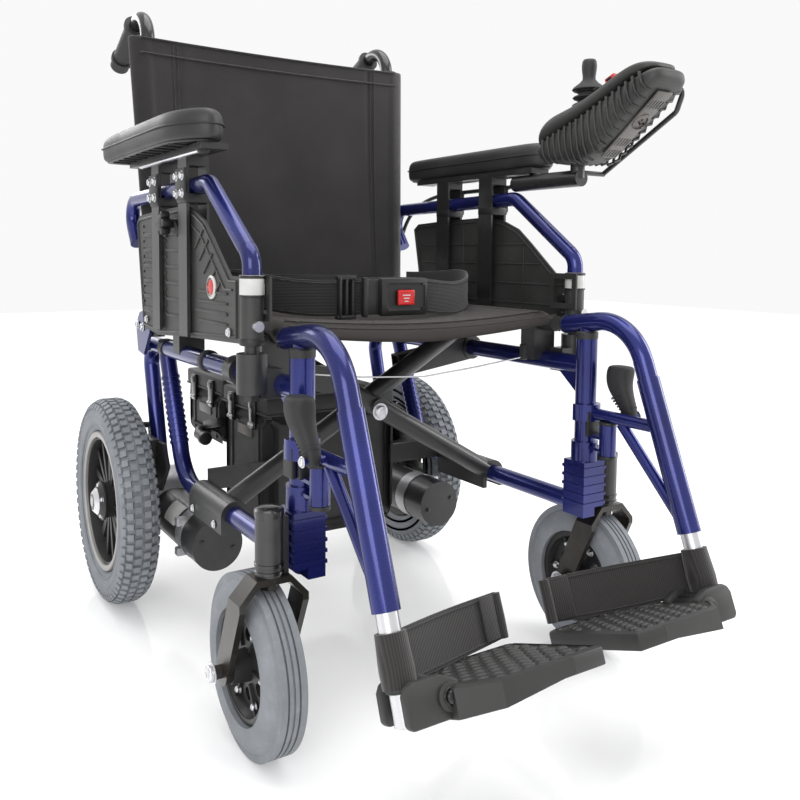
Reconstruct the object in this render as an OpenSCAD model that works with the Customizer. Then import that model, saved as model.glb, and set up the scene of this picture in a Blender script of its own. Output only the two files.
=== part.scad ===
/* [Frame] */
// Distance between the planes of the two side frames
frame_width = 426; // [380:1:500]
// Outer diameter of the side frame tubes
rail_d = 25; // [21:0.5:30]
// Height of the upper side rail
upper_rail_z = 406; // [396:1:440]
// Height of the lower side rail
lower_rail_z = 216; // [200:1:235]
// Distance from the origin forward to the front posts
post_reach = 262; // [240:1:320]
// Outer diameter of the front posts
post_d = 28; // [25:0.5:32]
// Height of the top of the front posts
post_top_z = 442; // [436:1:460]
// Distance from the origin back to the rear posts' top bend
rear_reach = 290; // [280:1:330]

/* [Drive wheels] */
// Outer diameter of the drive tyres
drive_d = 320; // [280:1:360]
// Width of the drive tyres
drive_w = 57; // [45:1:68]
// Distance from the frame plane to the middle of the drive wheel
drive_offset = 63; // [60:0.5:80]
// Distance from the origin back to the drive axle
drive_axle_y = 276; // [270:1:330]
// Diameter of the drive axle
drive_axle_d = 16; // [12:0.5:20]
// Diameter of the motor bodies
motor_d = 72; // [60:1:76]

/* [Casters] */
// Outer diameter of the caster tyres
caster_d = 200; // [150:1:204]
// Width of the caster tyres
caster_w = 48; // [36:1:54]
// Trail of the caster axle behind its swivel axis
caster_trail = 37; // [25:1:50]
// Diameter of the caster stems
stem_d = 12; // [10:0.5:16]
// Diameter of the caster axle bolts
caster_bolt_d = 8; // [6:0.5:12]

/* [Seat and back] */
// Height of the seat rails
seat_rail_z = 459; // [455:1:480]
// Diameter of the seat rails
seat_rail_d = 22; // [18:0.5:26]
// Length of the seat rails
seat_rail_len = 412; // [380:1:414]
// Height of the top of the back upholstery
back_top_z = 888; // [800:1:980]
// Diameter of the back canes and the armrest tubes
cane_d = 22; // [18:0.5:25]

/* [Armrests] */
// Height of the top of the armrest pads
pad_top_z = 722; // [715:1:760]
// Thickness of the armrest pads
pad_t = 39; // [25:1:42]
// Length of the armrest pads
pad_len = 355; // [300:1:380]
// Diameter of the pegs that the armrests stand on
peg_d = 17; // [14:0.5:18]

/* [Legrests] */
// Diameter of the hanger tubes below the knee
hanger_d = 28; // [26:0.5:32]
// Diameter of the sliding footrest tubes
footrest_d = 22; // [16:0.5:23]
// Angle of the legrests from the vertical
leg_angle = 21.2; // [15:0.1:24]
// Depth of the footplates from front to rear
plate_depth = 140; // [110:1:170]
// Width of the footplates
plate_w = 156; // [120:1:157]

/* [Batteries] */
// Width of the battery boxes
battery_w = 216; // [180:1:230]
// Length of each battery box
battery_len = 172; // [140:1:180]
// Height of the front battery box
battery_h = 212; // [170:1:220]

/* [Hidden] */
$fn = 48;

// Finishes
frame_blue = [0.16, 0.17, 0.50];
black = [0.12, 0.12, 0.12];
dark_grey = [0.25, 0.25, 0.25];
fabric_grey = [0.22, 0.20, 0.20];
tyre_grey = [0.50, 0.52, 0.55];
alloy = [0.78, 0.78, 0.80];
bronze = [0.27, 0.26, 0.24];
red = [0.85, 0.10, 0.10];

// Clearances: fixed_fit between pieces of one body, run_fit round a shaft, air between moving pieces
fixed_fit = 0.1;
run_fit = 0.05;
air = 0.4;

LEFT = 1;
RIGHT = -1;

// Places that follow from the driving sizes
fx = frame_width / 2;
post_y = -post_reach;
socket_x = fx + 33;
socket_y = -204;
socket_top_z = upper_rail_z + 36;
socket_len = 45;
receiver_d = 26;
receiver_z = socket_top_z + 9;
receiver_top_z = receiver_z + 78;
wheel_x = fx + drive_offset;
axle_z = drive_d / 2;
caster_x = fx + 40;
caster_y = post_y - 2;
fork_top_z = caster_d + 12;
fork_half_w = caster_w / 2 + 16;
fork_wall = 7;
housing_z = fork_top_z + air;
housing_top_z = housing_z + 66;
motor_x = fx - 20;
motor_z = axle_z - 20;
gear_inner_x = fx - 41;
mount_plate_x = fx + rail_d / 2 + fixed_fit;
mount_plate_t = 6;
seat_rail_x = fx - 8;
seat_rail_front_y = -212;
cane_x = fx + 7;
cane_foot_z = upper_rail_z + rail_d / 2 + 3;
cane_lean = 4.5;
panel_x = socket_x + 5;
panel_t = 3;
arm_top_z = 638;
brace_left_y = -60;
brace_right_y = -30;
brace_d = 28;
battery_front_y = 58;
battery_z = 128;

// The chair stands with its origin under the middle of its outer box
front_edge_y = -527.7;
rear_edge_y = drive_axle_y + drive_d / 2;
centre_y = (front_edge_y + rear_edge_y) / 2;

// ---- shared shapes ----

module set_down() { translate([0, -centre_y, 0]) children(); }

module on_side(side) {
    if (side == LEFT) children();
    else mirror([1, 0, 0]) children();
}

function unit(v) = v / norm(v);
function turn_at(p, i) = acos(unit(p[i] - p[i - 1]) * unit(p[i + 1] - p[i]));
function trim_at(p, r, i) = (i == 0 || i == len(p) - 1) ? 0 : r * tan(turn_at(p, i) / 2);

// A round bar between two points
module rod(a, b, d) {
    v = b - a;
    translate(a) rotate([0, acos(v.z / norm(v)), atan2(v.y, v.x)]) cylinder(h = norm(v), d = d);
}

// The bend of a round bar that runs from a to c past the corner b; it is a little slimmer than
// the bar, and its ends run a little way into the straights
bend_step = 0.3;
bend_lap = 1;

module bend(a, b, c, r, d) {
    u = unit(b - a);
    v = unit(c - b);
    turn = acos(u * v);
    n = unit(v - (u * v) * u);
    k = cross(-n, u);
    o = b - u * r * tan(turn / 2) + r * n;
    lap = bend_lap / r * 180 / PI;
    multmatrix([[-n.x, u.x, k.x, o.x], [-n.y, u.y, k.y, o.y], [-n.z, u.z, k.z, o.z], [0, 0, 0, 1]])
        rotate([0, 0, -lap]) rotate_extrude(angle = turn + 2 * lap) translate([r, 0])
            circle(d = d - bend_step);
}

// A round bar through the points p with bends of radius r
module bent_tube(p, r, d) {
    for (i = [0 : len(p) - 2]) {
        u = unit(p[i + 1] - p[i]);
        rod(p[i] + u * trim_at(p, r, i), p[i + 1] - u * trim_at(p, r, i + 1), d);
    }
    for (i = [1 : len(p) - 2]) bend(p[i - 1], p[i], p[i + 1], r, d);
}

// An outline in Y and Z, given a thickness along X from x
module side_plate(x, t) { translate([x, 0, 0]) rotate([90, 0, 90]) linear_extrude(t) children(); }

// A disc or shaft along X from x to x + h
module x_cyl(x, y, z, d, h) { translate([x, y, z]) rotate([0, 90, 0]) cylinder(h = h, d = d); }

// A disc or shaft along Y from y to y + h
module y_cyl(x, y, z, d, h) { translate([x, y, z]) rotate([-90, 0, 0]) cylinder(h = h, d = d); }

// ---- side frames ----

rib_foot_y = 122;
rib_top_y = 203;
rib_count = 12;
rear_foot = [fx, 234, 205];
plunger_y = post_y - 41;
casting_top_z = lower_rail_z + 88;
cast_half_w = 19;
rib_step = 1.5;
swing_pin_d = 12;

module rib_rings() {
    foot = [fx, rib_foot_y, lower_rail_z];
    dir = unit([0, rib_top_y - rib_foot_y, upper_rail_z - lower_rail_z]);
    for (i = [0 : rib_count - 1])
        rod(foot + dir * (58 + 9 * i), foot + dir * (62 + 9 * i), rail_d + 3);
}

module front_casting() {
    cast_z = max(fork_top_z + 3, lower_rail_z);
    translate([fx, post_y, cast_z]) cylinder(h = casting_top_z - cast_z, d = post_d + 8);
    translate([fx - cast_half_w, post_y - cast_half_w, cast_z]) cube([2 * cast_half_w, 2 * cast_half_w, 62]);
    translate([fx - cast_half_w, post_y - cast_half_w, cast_z - 12]) cube([cast_half_w + 2, 2 * cast_half_w, 13]);
    for (i = [0 : 4])
        translate([fx - cast_half_w - rib_step, post_y - cast_half_w - rib_step, cast_z + 3 + 12 * i])
            cube([2 * (cast_half_w + rib_step), 2 * (cast_half_w + rib_step), 4]);
}

module plunger_lugs() {
    for (z = [296, 312])
        translate([fx - 9, plunger_y, z]) cube([18, post_y - plunger_y, 4]);
    translate([fx, plunger_y, 292]) cylinder(h = 40, d = 22);
}

module side_frame(side) color(frame_blue) on_side(side) difference() {
    union() {
        bent_tube([[fx, post_y, upper_rail_z], [fx, rear_reach, upper_rail_z], rear_foot], 30, rail_d);
        bent_tube([[fx, post_y, lower_rail_z], [fx, rib_foot_y, lower_rail_z], [fx, rib_top_y, upper_rail_z]],
                  70, rail_d);
        rib_rings();
        translate([fx, post_y, lower_rail_z + 2]) cylinder(h = post_top_z - lower_rail_z - 2, d = post_d);
        front_casting();
        plunger_lugs();
        side_plate(fx - 4, 8)
            polygon([[post_y, upper_rail_z - 50], [post_y + 62, upper_rail_z], [post_y, upper_rail_z + 8]]);
        x_cyl(fx, rear_reach - 32, upper_rail_z, 18, cane_x - fx + cane_d / 2 + 5);
        side_plate(cane_x + cane_d / 2 + fixed_fit, 5)
            polygon([[rear_reach - 44, upper_rail_z - 14], [rear_reach - 14, upper_rail_z - 10],
                     [rear_reach - 4, upper_rail_z + 32], [rear_reach - 24, upper_rail_z + 52],
                     [rear_reach - 78, upper_rail_z + 62], [rear_reach - 76, upper_rail_z + 24]]);
    }
    translate([fx, post_y, post_top_z - 26]) cylinder(h = 40, d = swing_pin_d + 2 * run_fit);
}

// ---- black fittings bolted to the side frames ----

module caster_housing() difference() {
    union() {
        translate([caster_x, caster_y, housing_z]) cylinder(h = housing_top_z - housing_z, d = 30);
        translate([caster_x, caster_y, housing_top_z]) cylinder(h = 4, d = 31);
        translate([fx + cast_half_w + rib_step + fixed_fit, caster_y - 8, housing_z])
            cube([caster_x - fx - cast_half_w - 10, 16, 62]);
    }
    translate([caster_x, caster_y, housing_z - 1]) cylinder(h = 60, d = stem_d + 2 * run_fit);
}

module armrest_socket() {
    difference() {
        union() {
            translate([socket_x, socket_y, socket_top_z - socket_len]) cylinder(h = socket_len, d = 35);
            translate([fx - 6, socket_y - 12, socket_top_z - 50]) cube([socket_x - fx, 24, 32]);
        }
        y_cyl(fx, socket_y - 13, upper_rail_z, rail_d + 2 * fixed_fit, 26);
        translate([fx - 7, socket_y - 13, upper_rail_z - 20]) cube([7, 26, 60]);
    }
    translate([socket_x, socket_y, socket_top_z]) cylinder(h = 54, d = peg_d);
    translate([socket_x, socket_y, socket_top_z - socket_len - 8]) cylinder(h = 8, d = 20, $fn = 6);
}

// Cradle that a seat rail drops into when the chair is open
module seat_cradle(y) difference() {
    translate([seat_rail_x - 17, y - 14, upper_rail_z - 8])
        cube([fx + 14 - seat_rail_x + 16, 28, seat_rail_z + 4 - upper_rail_z + 8]);
    y_cyl(fx, y - 15, upper_rail_z, rail_d + 2 * fixed_fit, 30);
    translate([fx - 30, y - 15, upper_rail_z - 20]) cube([60, 30, 20]);
    y_cyl(seat_rail_x, y - 15, seat_rail_z, seat_rail_d + 2 * air, 30);
    translate([seat_rail_x - seat_rail_d / 2 - air, y - 15, seat_rail_z])
        cube([seat_rail_d + 22 + 2 * air, 30, 40]);
}

module motor_mount() difference() {
    side_plate(mount_plate_x, mount_plate_t)
        polygon([[150, 232], [168, 264], [252, 262], [drive_axle_y + 32, axle_z + 14],
                 [drive_axle_y + 24, axle_z - 22], [drive_axle_y - 14, axle_z - 32],
                 [drive_axle_y - 34, axle_z - 10], [drive_axle_y - 38, motor_z + motor_d / 2 + 6],
                 [186, motor_z + motor_d / 2 + 12]]);
    x_cyl(mount_plate_x - 1, drive_axle_y, axle_z, 44 + 2 * fixed_fit, mount_plate_t + 2);
}

// Plate that steadies the front of the battery tray
module battery_stop() difference() {
    translate([battery_w / 2 - 6, battery_front_y - 7 - air, lower_rail_z + 2])
        cube([fx - battery_w / 2 - 5, 7, 30]);
    y_cyl(fx, battery_front_y - 12, lower_rail_z, rail_d + 2 * fixed_fit, 20);
}

bush_h = 7;
gland = [242, 250, 470];

// Gland that takes the lower end of the control cable
module cable_gland() {
    translate([gland.x, gland.y, gland.z - 18]) cylinder(h = 18, d = 11);
    translate([cane_x + cane_d / 2 + 5 + 2 * fixed_fit, gland.y - 5, gland.z - 16])
        cube([gland.x - cane_x - cane_d / 2 - 5 - 2 * fixed_fit, 10, 14]);
}

module frame_fittings(side) color(black) on_side(side) {
    if (side == LEFT) cable_gland();
    caster_housing();
    armrest_socket();
    seat_cradle(-172);
    seat_cradle(118);
    motor_mount();
    battery_stop();
    difference() {
        translate([fx, post_y, post_top_z + fixed_fit]) cylinder(h = bush_h, d = post_d);
        translate([fx, post_y, post_top_z - 1]) cylinder(h = 12, d = swing_pin_d + 2 * run_fit);
    }
}

// ---- casters ----

leg_x = fork_half_w - fork_wall;

module fork_arch() difference() {
    polygon([[-fork_half_w, 60], [-fork_half_w, fork_top_z - 22], [-fork_half_w + 20, fork_top_z],
             [fork_half_w - 20, fork_top_z], [fork_half_w, fork_top_z - 22], [fork_half_w, 60]]);
    polygon([[-leg_x, 50], [-leg_x, fork_top_z - 24], [-leg_x + 15, fork_top_z - 7],
             [leg_x - 15, fork_top_z - 7], [leg_x, fork_top_z - 24], [leg_x, 50]]);
}

module fork_leg() {
    polygon([[-14, fork_top_z + 1], [14, fork_top_z + 1], [15, fork_top_z - 22],
             [caster_trail + 15, caster_d / 2 + 2], [caster_trail - 15, caster_d / 2 - 2], [-15, fork_top_z - 30]]);
    translate([caster_trail, caster_d / 2]) circle(d = 31);
}

module caster_fork(side) color(bronze) on_side(side) translate([caster_x, caster_y, 0]) {
    difference() {
        intersection() {
            translate([0, 60, 0]) rotate([90, 0, 0]) linear_extrude(120) fork_arch();
            side_plate(-60, 120) fork_leg();
        }
        x_cyl(-60, caster_trail, caster_d / 2, caster_bolt_d + 2 * fixed_fit, 120);
    }
    translate([0, 0, fork_top_z - 10]) cylinder(h = 64, d = stem_d);
    translate([0, 0, fork_top_z - 15]) cylinder(h = 8 - fixed_fit, d = 19, $fn = 6);
    x_cyl(-fork_half_w - 8, caster_trail, caster_d / 2, caster_bolt_d, 2 * fork_half_w + 16);
    for (x = [-fork_half_w - 8, fork_half_w + fixed_fit])
        x_cyl(x, caster_trail, caster_d / 2, 15, 8 - fixed_fit);
}

caster_rim_r = 63;
caster_hub_w = 2 * leg_x - 4;

module caster_rim(side) color(black) on_side(side)
    translate([caster_x, caster_y + caster_trail, caster_d / 2]) rotate([0, 90, 0]) difference() {
        rotate_extrude() polygon([
            [caster_bolt_d / 2 + run_fit, -caster_hub_w / 2], [16, -caster_hub_w / 2], [18, -10],
            [caster_rim_r - 12, -7], [caster_rim_r - 8, -16], [caster_rim_r, -16], [caster_rim_r - 4, -7],
            [caster_rim_r - 4, 7], [caster_rim_r, 16], [caster_rim_r - 8, 16], [caster_rim_r - 12, 7],
            [18, 10], [16, caster_hub_w / 2], [caster_bolt_d / 2 + run_fit, caster_hub_w / 2]]);
        for (a = [0 : 60 : 300]) rotate([0, 0, a]) translate([34, 0, -20]) cylinder(h = 40, d = 15);
    }

module caster_tyre(side) color(tyre_grey) on_side(side)
    translate([caster_x, caster_y + caster_trail, caster_d / 2]) rotate([0, 90, 0]) difference() {
        rotate_extrude() intersection() {
            translate([caster_d / 2 - 27, 0]) union() {
                circle(d = caster_w);
                translate([-20, -caster_w / 2 + 4]) square([20, caster_w - 8]);
                translate([0, -15]) square([27, 30]);
            }
            translate([caster_rim_r + fixed_fit, -caster_w / 2])
                square([caster_d / 2 - caster_rim_r - fixed_fit, caster_w]);
        }
        for (i = [-2 : 2]) rotate_extrude() translate([caster_d / 2 - 2 - abs(i) * abs(i) * 1.1, i * 6.5 - 1.2])
            square([6, 2.4]);
    }

// ---- drive wheels ----

bead_r = 108;
hub_in = 28;

module drive_tyre(side) color(tyre_grey) on_side(side)
    translate([wheel_x, drive_axle_y, axle_z]) rotate([0, 90, 0]) rotate_extrude() difference() {
        intersection() {
            translate([axle_z - 26, 0]) union() {
                circle(d = drive_w);
                translate([0, -20]) square([26, 40]);
                translate([-30, -20]) square([30, 40]);
            }
            translate([bead_r + fixed_fit, -drive_w / 2]) square([axle_z - bead_r - fixed_fit, drive_w]);
        }
    }

module drive_rim(side) color(black) on_side(side)
    translate([wheel_x, drive_axle_y, axle_z]) rotate([0, 90, 0]) difference() {
        union() {
            rotate_extrude() polygon([[bead_r, -22], [bead_r - 6, -22], [bead_r - 12, -12], [bead_r - 12, 12],
                                      [bead_r - 6, 22], [bead_r, 22], [bead_r - 7, 12], [bead_r - 7, -12]]);
            translate([0, 0, -hub_in]) cylinder(h = hub_in + 22, d = 56);
            for (a = [0 : 72 : 288], k = [-1, 1]) rotate([0, 0, a + 11 * k])
                translate([20, -4, -10]) cube([bead_r - 29, 8, 19]);
        }
        translate([0, 0, -hub_in - 1]) cylinder(h = 60, d = drive_axle_d + 2 * run_fit);
    }

// ---- drive units ----

release_y = drive_axle_y + 31;
release_z = axle_z + 38;
release_pin_d = 6;

module gearbox(side) color(alloy) on_side(side) {
    x_cyl(gear_inner_x + 8, release_y, release_z, 18, fx - 14 - air - gear_inner_x - 8);
    translate([gear_inner_x + 8, drive_axle_y, axle_z + 20])
        cube([fx - 14 - air - gear_inner_x - 8, release_y - drive_axle_y, 20]);
    x_cyl(gear_inner_x + 8, release_y, release_z, release_pin_d, fx - 2 - gear_inner_x - 8);
    x_cyl(gear_inner_x, drive_axle_y, axle_z, 84, mount_plate_x - gear_inner_x - fixed_fit);
    x_cyl(mount_plate_x - 20, drive_axle_y, axle_z, 44, wheel_x - hub_in - mount_plate_x + 19);
    x_cyl(mount_plate_x, drive_axle_y, axle_z, drive_axle_d, wheel_x + 36 - mount_plate_x);
    x_cyl(wheel_x + 22 + air, drive_axle_y, axle_z, 30, 8);
    y_cyl(motor_x, 232 + fixed_fit, motor_z, 38, 30);
    y_cyl(motor_x, 93 + fixed_fit, motor_z, motor_d + 3, 25 - 2 * fixed_fit);
}

module motor(side) color(black) on_side(side) {
    y_cyl(motor_x, 118, motor_z, motor_d, 114);
    y_cyl(motor_x, 42, motor_z, motor_d + 2, 51);
}

module release_lever(side) color(black) on_side(side) {
    difference() {
        x_cyl(fx - 14, release_y, release_z, 14, 12);
        x_cyl(fx - 20, release_y, release_z, release_pin_d + 2 * run_fit, 30);
    }
    rod([fx - 8, release_y + 1, release_z + 6], [fx - 8, release_y + 13, release_z + 66], 8);
    rod([fx - 11, release_y + 13, release_z + 66], [fx + 29, release_y + 11, release_z + 70], 10);
}

// ---- swing-away legrests ----

leg_end = [fx, -434, 226];
leg_up = [0, sin(leg_angle), cos(leg_angle)];
knee_len = 266;
thick_len = 188;
bore_len = 165;
leg_z = 343;

module leg_frame() { translate(leg_end) rotate([-leg_angle, 0, 0]) children(); }

lever_pivot = [fx + 19, -324, 345];
lever_pin_d = 8;

module hanger(side) color(frame_blue) on_side(side) difference() {
    leg_at = leg_end + leg_up * (leg_z - leg_end.z) / cos(leg_angle);
    union() {
        bent_tube([[fx, -224, seat_rail_z], leg_end + leg_up * knee_len, leg_end + leg_up * 30], 70, rail_d);
        rod(leg_end, leg_end + leg_up * thick_len, hanger_d);
        rod([fx, post_y - post_d / 2 - 4, leg_z], leg_at, 16);
        rod([fx, post_y - 64, leg_z - 6], leg_end + leg_up * 10 + [0, 6, 0], 14);
        x_cyl(fx, lever_pivot.y, lever_pivot.z, lever_pin_d, lever_pivot.x - fx + 12);
        difference() {
            translate([fx, post_y, leg_z - 10]) cylinder(h = 22, d = post_d + 12);
            translate([fx - 40, post_y + 4, leg_z - 12]) cube([80, 40, 30]);
        }
        translate([fx, post_y, post_top_z - 20]) cylinder(h = 40, d = swing_pin_d);
        translate([fx, post_y, post_top_z + fixed_fit + bush_h + air]) cylinder(h = 8, d = 20);
    }
    translate([fx, post_y, leg_z - 12]) cylinder(h = 30, d = post_d + 2 * air);
    leg_frame() translate([0, 0, -5]) cylinder(h = bore_len + 5, d = footrest_d + 2 * run_fit);
}

module hanger_lever(side) color(dark_grey) on_side(side) difference() {
    lx = lever_pivot.x;
    union() {
        hull() {
            translate(lever_pivot) sphere(d = 17, $fn = 32);
            translate([lx, -306, 372]) sphere(d = 20, $fn = 32);
        }
        hull() {
            translate([lx, -306, 372]) sphere(d = 20, $fn = 32);
            translate([lx, -297, 398]) sphere(d = 22, $fn = 32);
        }
        hull() {
            translate([lx, -290, 396]) sphere(d = 20, $fn = 32);
            translate([lx, -302, 398]) sphere(d = 20, $fn = 32);
        }
    }
    x_cyl(fx, lever_pivot.y, lever_pivot.z, lever_pin_d + 2 * run_fit, 40);
}

// Footrest hinge in the legrest's own frame: Y runs along the pin
hinge_x = -33;
hinge_z = -80;
plate_top_z = hinge_z + 8;
plate_t = 17;
knuckle_w = 30;
tube_top_z = 110;
footrest_pin_d = 10;

module footrest_tube(side) color(alloy) on_side(side) leg_frame() difference() {
    union() {
        translate([0, 0, hinge_z - 30]) cylinder(h = tube_top_z - hinge_z + 30, d = footrest_d);
        translate([-27, -knuckle_w / 2, hinge_z - 28]) cube([42, knuckle_w, 42]);
        y_cyl(hinge_x, -knuckle_w / 2, hinge_z, 26, knuckle_w);
        translate([hinge_x, -knuckle_w / 2, hinge_z - 13]) cube([12, knuckle_w, 26]);
    }
    y_cyl(hinge_x, -30, hinge_z, footrest_pin_d + 2 * run_fit, 60);
}

cheek_w = 11;
plate_front_y = -66;

module plate_outline() polygon([
    [hinge_x - plate_w, plate_front_y], [hinge_x - 30, plate_front_y], [hinge_x - 2, -32],
    [hinge_x - 2, plate_front_y + plate_depth - 14], [hinge_x - 18, plate_front_y + plate_depth],
    [hinge_x - plate_w + 8, plate_front_y + plate_depth], [hinge_x - plate_w, plate_front_y + plate_depth - 8]]);

module footplate(side) color(dark_grey) on_side(side) leg_frame() {
    difference() {
        union() {
            translate([0, 0, plate_top_z - plate_t]) linear_extrude(plate_t) plate_outline();
            for (y = [-knuckle_w / 2 - air - cheek_w, knuckle_w / 2 + air]) {
                y_cyl(hinge_x, y, hinge_z, 24, cheek_w);
                translate([hinge_x - 30, y, hinge_z - 9]) cube([30, cheek_w, 17]);
            }
        }
        translate([0, 0, plate_top_z - plate_t - 1]) linear_extrude(plate_t - 5) offset(delta = -6) plate_outline();
        translate([hinge_x - 21, -knuckle_w / 2 - air, hinge_z - 30]) cube([60, knuckle_w + 2 * air, 60]);
        y_cyl(hinge_x, -40, hinge_z, footrest_pin_d + 2 * fixed_fit, 80);
    }
    y_cyl(hinge_x, -knuckle_w / 2 - cheek_w - 3, hinge_z, footrest_pin_d, knuckle_w + 2 * cheek_w + 6);
}

// Heel strap: a loop of webbing round the footrest tube, with its far end at the plate's rear corner
strap_h = 46;
strap_t = 3;

module heel_strap(side) color(black) on_side(side) leg_frame()
    translate([0, 0, plate_top_z + 8]) linear_extrude(strap_h) {
        difference() {
            circle(d = footrest_d + 2 * air + 2 * strap_t);
            circle(d = footrest_d + 2 * air);
        }
        polygon([[-8, 12], [-8, 15], [hinge_x - 100, 62], [hinge_x - plate_w + 14, 70],
                 [hinge_x - plate_w + 14, 67], [hinge_x - 100, 59]]);
    }

// ---- armrests ----

module armrest_tube(side) color(frame_blue) on_side(side)
    bent_tube([[socket_x, socket_y, receiver_z + 50], [socket_x, socket_y, 549],
               [socket_x, -76, arm_top_z + 1], [socket_x, 285, arm_top_z - 5], [socket_x, 236, 566]],
              26, cane_d);

module panel_outline() polygon([
    [176, 441], [109, 436], [-12, 444], [-200, 452], [-200, 527], [-159, 527], [-132, 549], [-105, 571],
    [-76, 593], [-45, 605], [-13, 613], [28, 613], [136, 610], [196, 607], [210, 598]]);

module receiver() difference() {
    translate([socket_x, socket_y, receiver_z]) cylinder(h = receiver_top_z - receiver_z, d = receiver_d);
    translate([socket_x, socket_y, receiver_z - 1]) cylinder(h = 80, d = peg_d + 2 * run_fit);
    translate([socket_x, socket_y, receiver_z + 50]) cylinder(h = 80, d = cane_d + 2 * fixed_fit);
    y_cyl(socket_x, socket_y - 30, receiver_z + 22, 12 + 2 * run_fit, 30);
}

module side_panel(side) color(dark_grey) on_side(side) {
    receiver();
    difference() {
        union() {
            side_plate(panel_x, panel_t) panel_outline();
            for (z = [470, 505, 540, 575]) side_plate(panel_x + panel_t, 1.5) polygon([
                [118, z], [176, z], [176, z + 4], [118, z + 4]]);
            side_plate(panel_x + panel_t, 1.5) polygon([[-150, 480], [-48, 480], [-48, 484], [-150, 484]]);
        }
        translate([socket_x, socket_y, receiver_z - 20]) cylinder(h = 140, d = receiver_d + 2 * fixed_fit);
    }
    difference() {
        side_plate(socket_x - receiver_d / 2 - 3 - fixed_fit, 3)
            polygon([[-222, 478], [-170, 478], [-170, 528], [-222, 528]]);
        side_plate(socket_x - receiver_d / 2 - 5, 6)
            polygon([[-214, 486], [-178, 486], [-178, 520], [-214, 520]]);
    }
}

bar_y = [-34, 80];
bar_w = 32;
bar_foot_z = 446;
strip_z = pad_top_z - pad_t - 8;

module pad_posts(side) color(black) on_side(side) {
    for (y = bar_y) {
        translate([socket_x + cane_d / 2 + air, y, bar_foot_z]) cube([4, bar_w, strip_z - bar_foot_z]);
        translate([socket_x - cane_d / 2 - air - 3.4, y, bar_foot_z]) cube([3.4, bar_w, strip_z - bar_foot_z]);
        translate([socket_x - cane_d / 2 - air - 3.4, y, strip_z - 12]) cube([30, bar_w, 12]);
    }
    translate([socket_x - 8, -118, strip_z]) cube([34, 300, 8 - fixed_fit]);
}

pad_in = fx + 25;
pad_out = fx + 92;
pad_rear_y = 222;

module arm_pad(side) color(dark_grey) on_side(side)
    translate([0, 0, pad_top_z - pad_t]) linear_extrude(pad_t) polygon([
        [pad_in, pad_rear_y], [pad_in, pad_rear_y - pad_len + 25], [pad_in + 16, pad_rear_y - pad_len + 4],
        [pad_in + 34, pad_rear_y - pad_len], [pad_in + 48, pad_rear_y - pad_len + 12],
        [pad_out, pad_rear_y - pad_len + 72], [pad_out, pad_rear_y]]);

module arm_button(side) color(alloy) on_side(side)
    y_cyl(socket_x, socket_y - 20, receiver_z + 22, 12, 8);

// ---- back ----

grip_drop = 24;
grip_len = 112;
cane_foot = [cane_x, 224, cane_foot_z];
cane_bend = cane_foot + [0, sin(cane_lean), cos(cane_lean)] * (back_top_z + 58 - cane_foot_z);
grip_dir = [0, cos(grip_drop), -sin(grip_drop)];
grip_root = cane_bend + grip_dir * 64;

module back_cane(side) color(black) on_side(side)
    bent_tube([cane_foot, cane_bend, grip_root + grip_dir * (grip_len - 4)], 42, cane_d);

module push_grip(side) color(black) on_side(side) difference() {
    union() {
        rod(grip_root, grip_root + grip_dir * grip_len, 31);
        for (t = [0, 88]) rod(grip_root + grip_dir * t, grip_root + grip_dir * (t + 6), 37);
    }
    rod(cane_bend, grip_root + grip_dir * (grip_len - 3), cane_d + 2 * fixed_fit);
}

back_half_w = cane_x - cane_d / 2 - air;

module back_sling() color(fabric_grey)
    translate([0, cane_foot.y, cane_foot_z]) rotate([-cane_lean, 0, 0])
        translate([-back_half_w, -4, 54]) cube([2 * back_half_w, 8, back_top_z - cane_foot_z - 54]);

// ---- seat ----

seat_under_z = seat_rail_z + seat_rail_d / 2 + air;
seat_t = 6;
seat_sag = 12;

module seat_outline(z) polygon([
    [-seat_rail_x - 9, z], [-seat_rail_x + 14, z], [-150, z - seat_sag / 2], [-60, z - seat_sag],
    [60, z - seat_sag], [150, z - seat_sag / 2], [seat_rail_x - 14, z], [seat_rail_x + 9, z],
    [seat_rail_x + 9, z + seat_t], [seat_rail_x - 14, z + seat_t], [150, z + seat_t - seat_sag / 2],
    [60, z + seat_t - seat_sag], [-60, z + seat_t - seat_sag], [-150, z + seat_t - seat_sag / 2],
    [-seat_rail_x + 14, z + seat_t], [-seat_rail_x - 9, z + seat_t]]);

module seat_sling() color(fabric_grey) translate([0, seat_rail_front_y + seat_rail_len, 0]) rotate([90, 0, 0])
    linear_extrude(seat_rail_len) seat_outline(seat_under_z);

belt_z = seat_under_z + seat_t + air;
belt_h = 48;
belt_t = 3;

button_w = 18;
buckle_y = -139;

// Half of the belt's line across the seat, from the buckle round to behind the hips
belt_line = [[0, -131], [80, -111], [150, -39], [seat_rail_x - 11, 118], [150, 196]];
function flipped(p) = [for (i = [len(p) - 1 : -1 : 1]) [-p[i].x, p[i].y]];
function inset(p, t) = [for (v = p) [max(v.x - t, 0), v.y + t]];

module lap_belt() color(black) difference() {
    union() {
        translate([0, 0, belt_z]) linear_extrude(belt_h) difference() {
            polygon(concat(belt_line, flipped(belt_line)));
            polygon(concat(inset(belt_line, belt_t), flipped(inset(belt_line, belt_t))));
        }
        translate([-34, buckle_y, belt_z]) cube([68, 12, belt_h - 2]);
    }
    translate([-button_w / 2 - air, buckle_y - 1, belt_z + 10 - air]) cube([button_w + 2 * air, 8, 18 + 2 * air]);
}

module belt_button() color(red)
    translate([-button_w / 2, buckle_y - 1.4, belt_z + 10]) cube([button_w, 4, 18]);

// ---- folding cross brace ----

seat_tip = [-seat_rail_x, 0, seat_rail_z];
foot_half_l = 60;
arm_dir = unit([-seat_rail_x - fx, 0, seat_rail_z - lower_rail_z]);
arm_len = norm([seat_rail_x + fx, seat_rail_z - lower_rail_z]);

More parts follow.
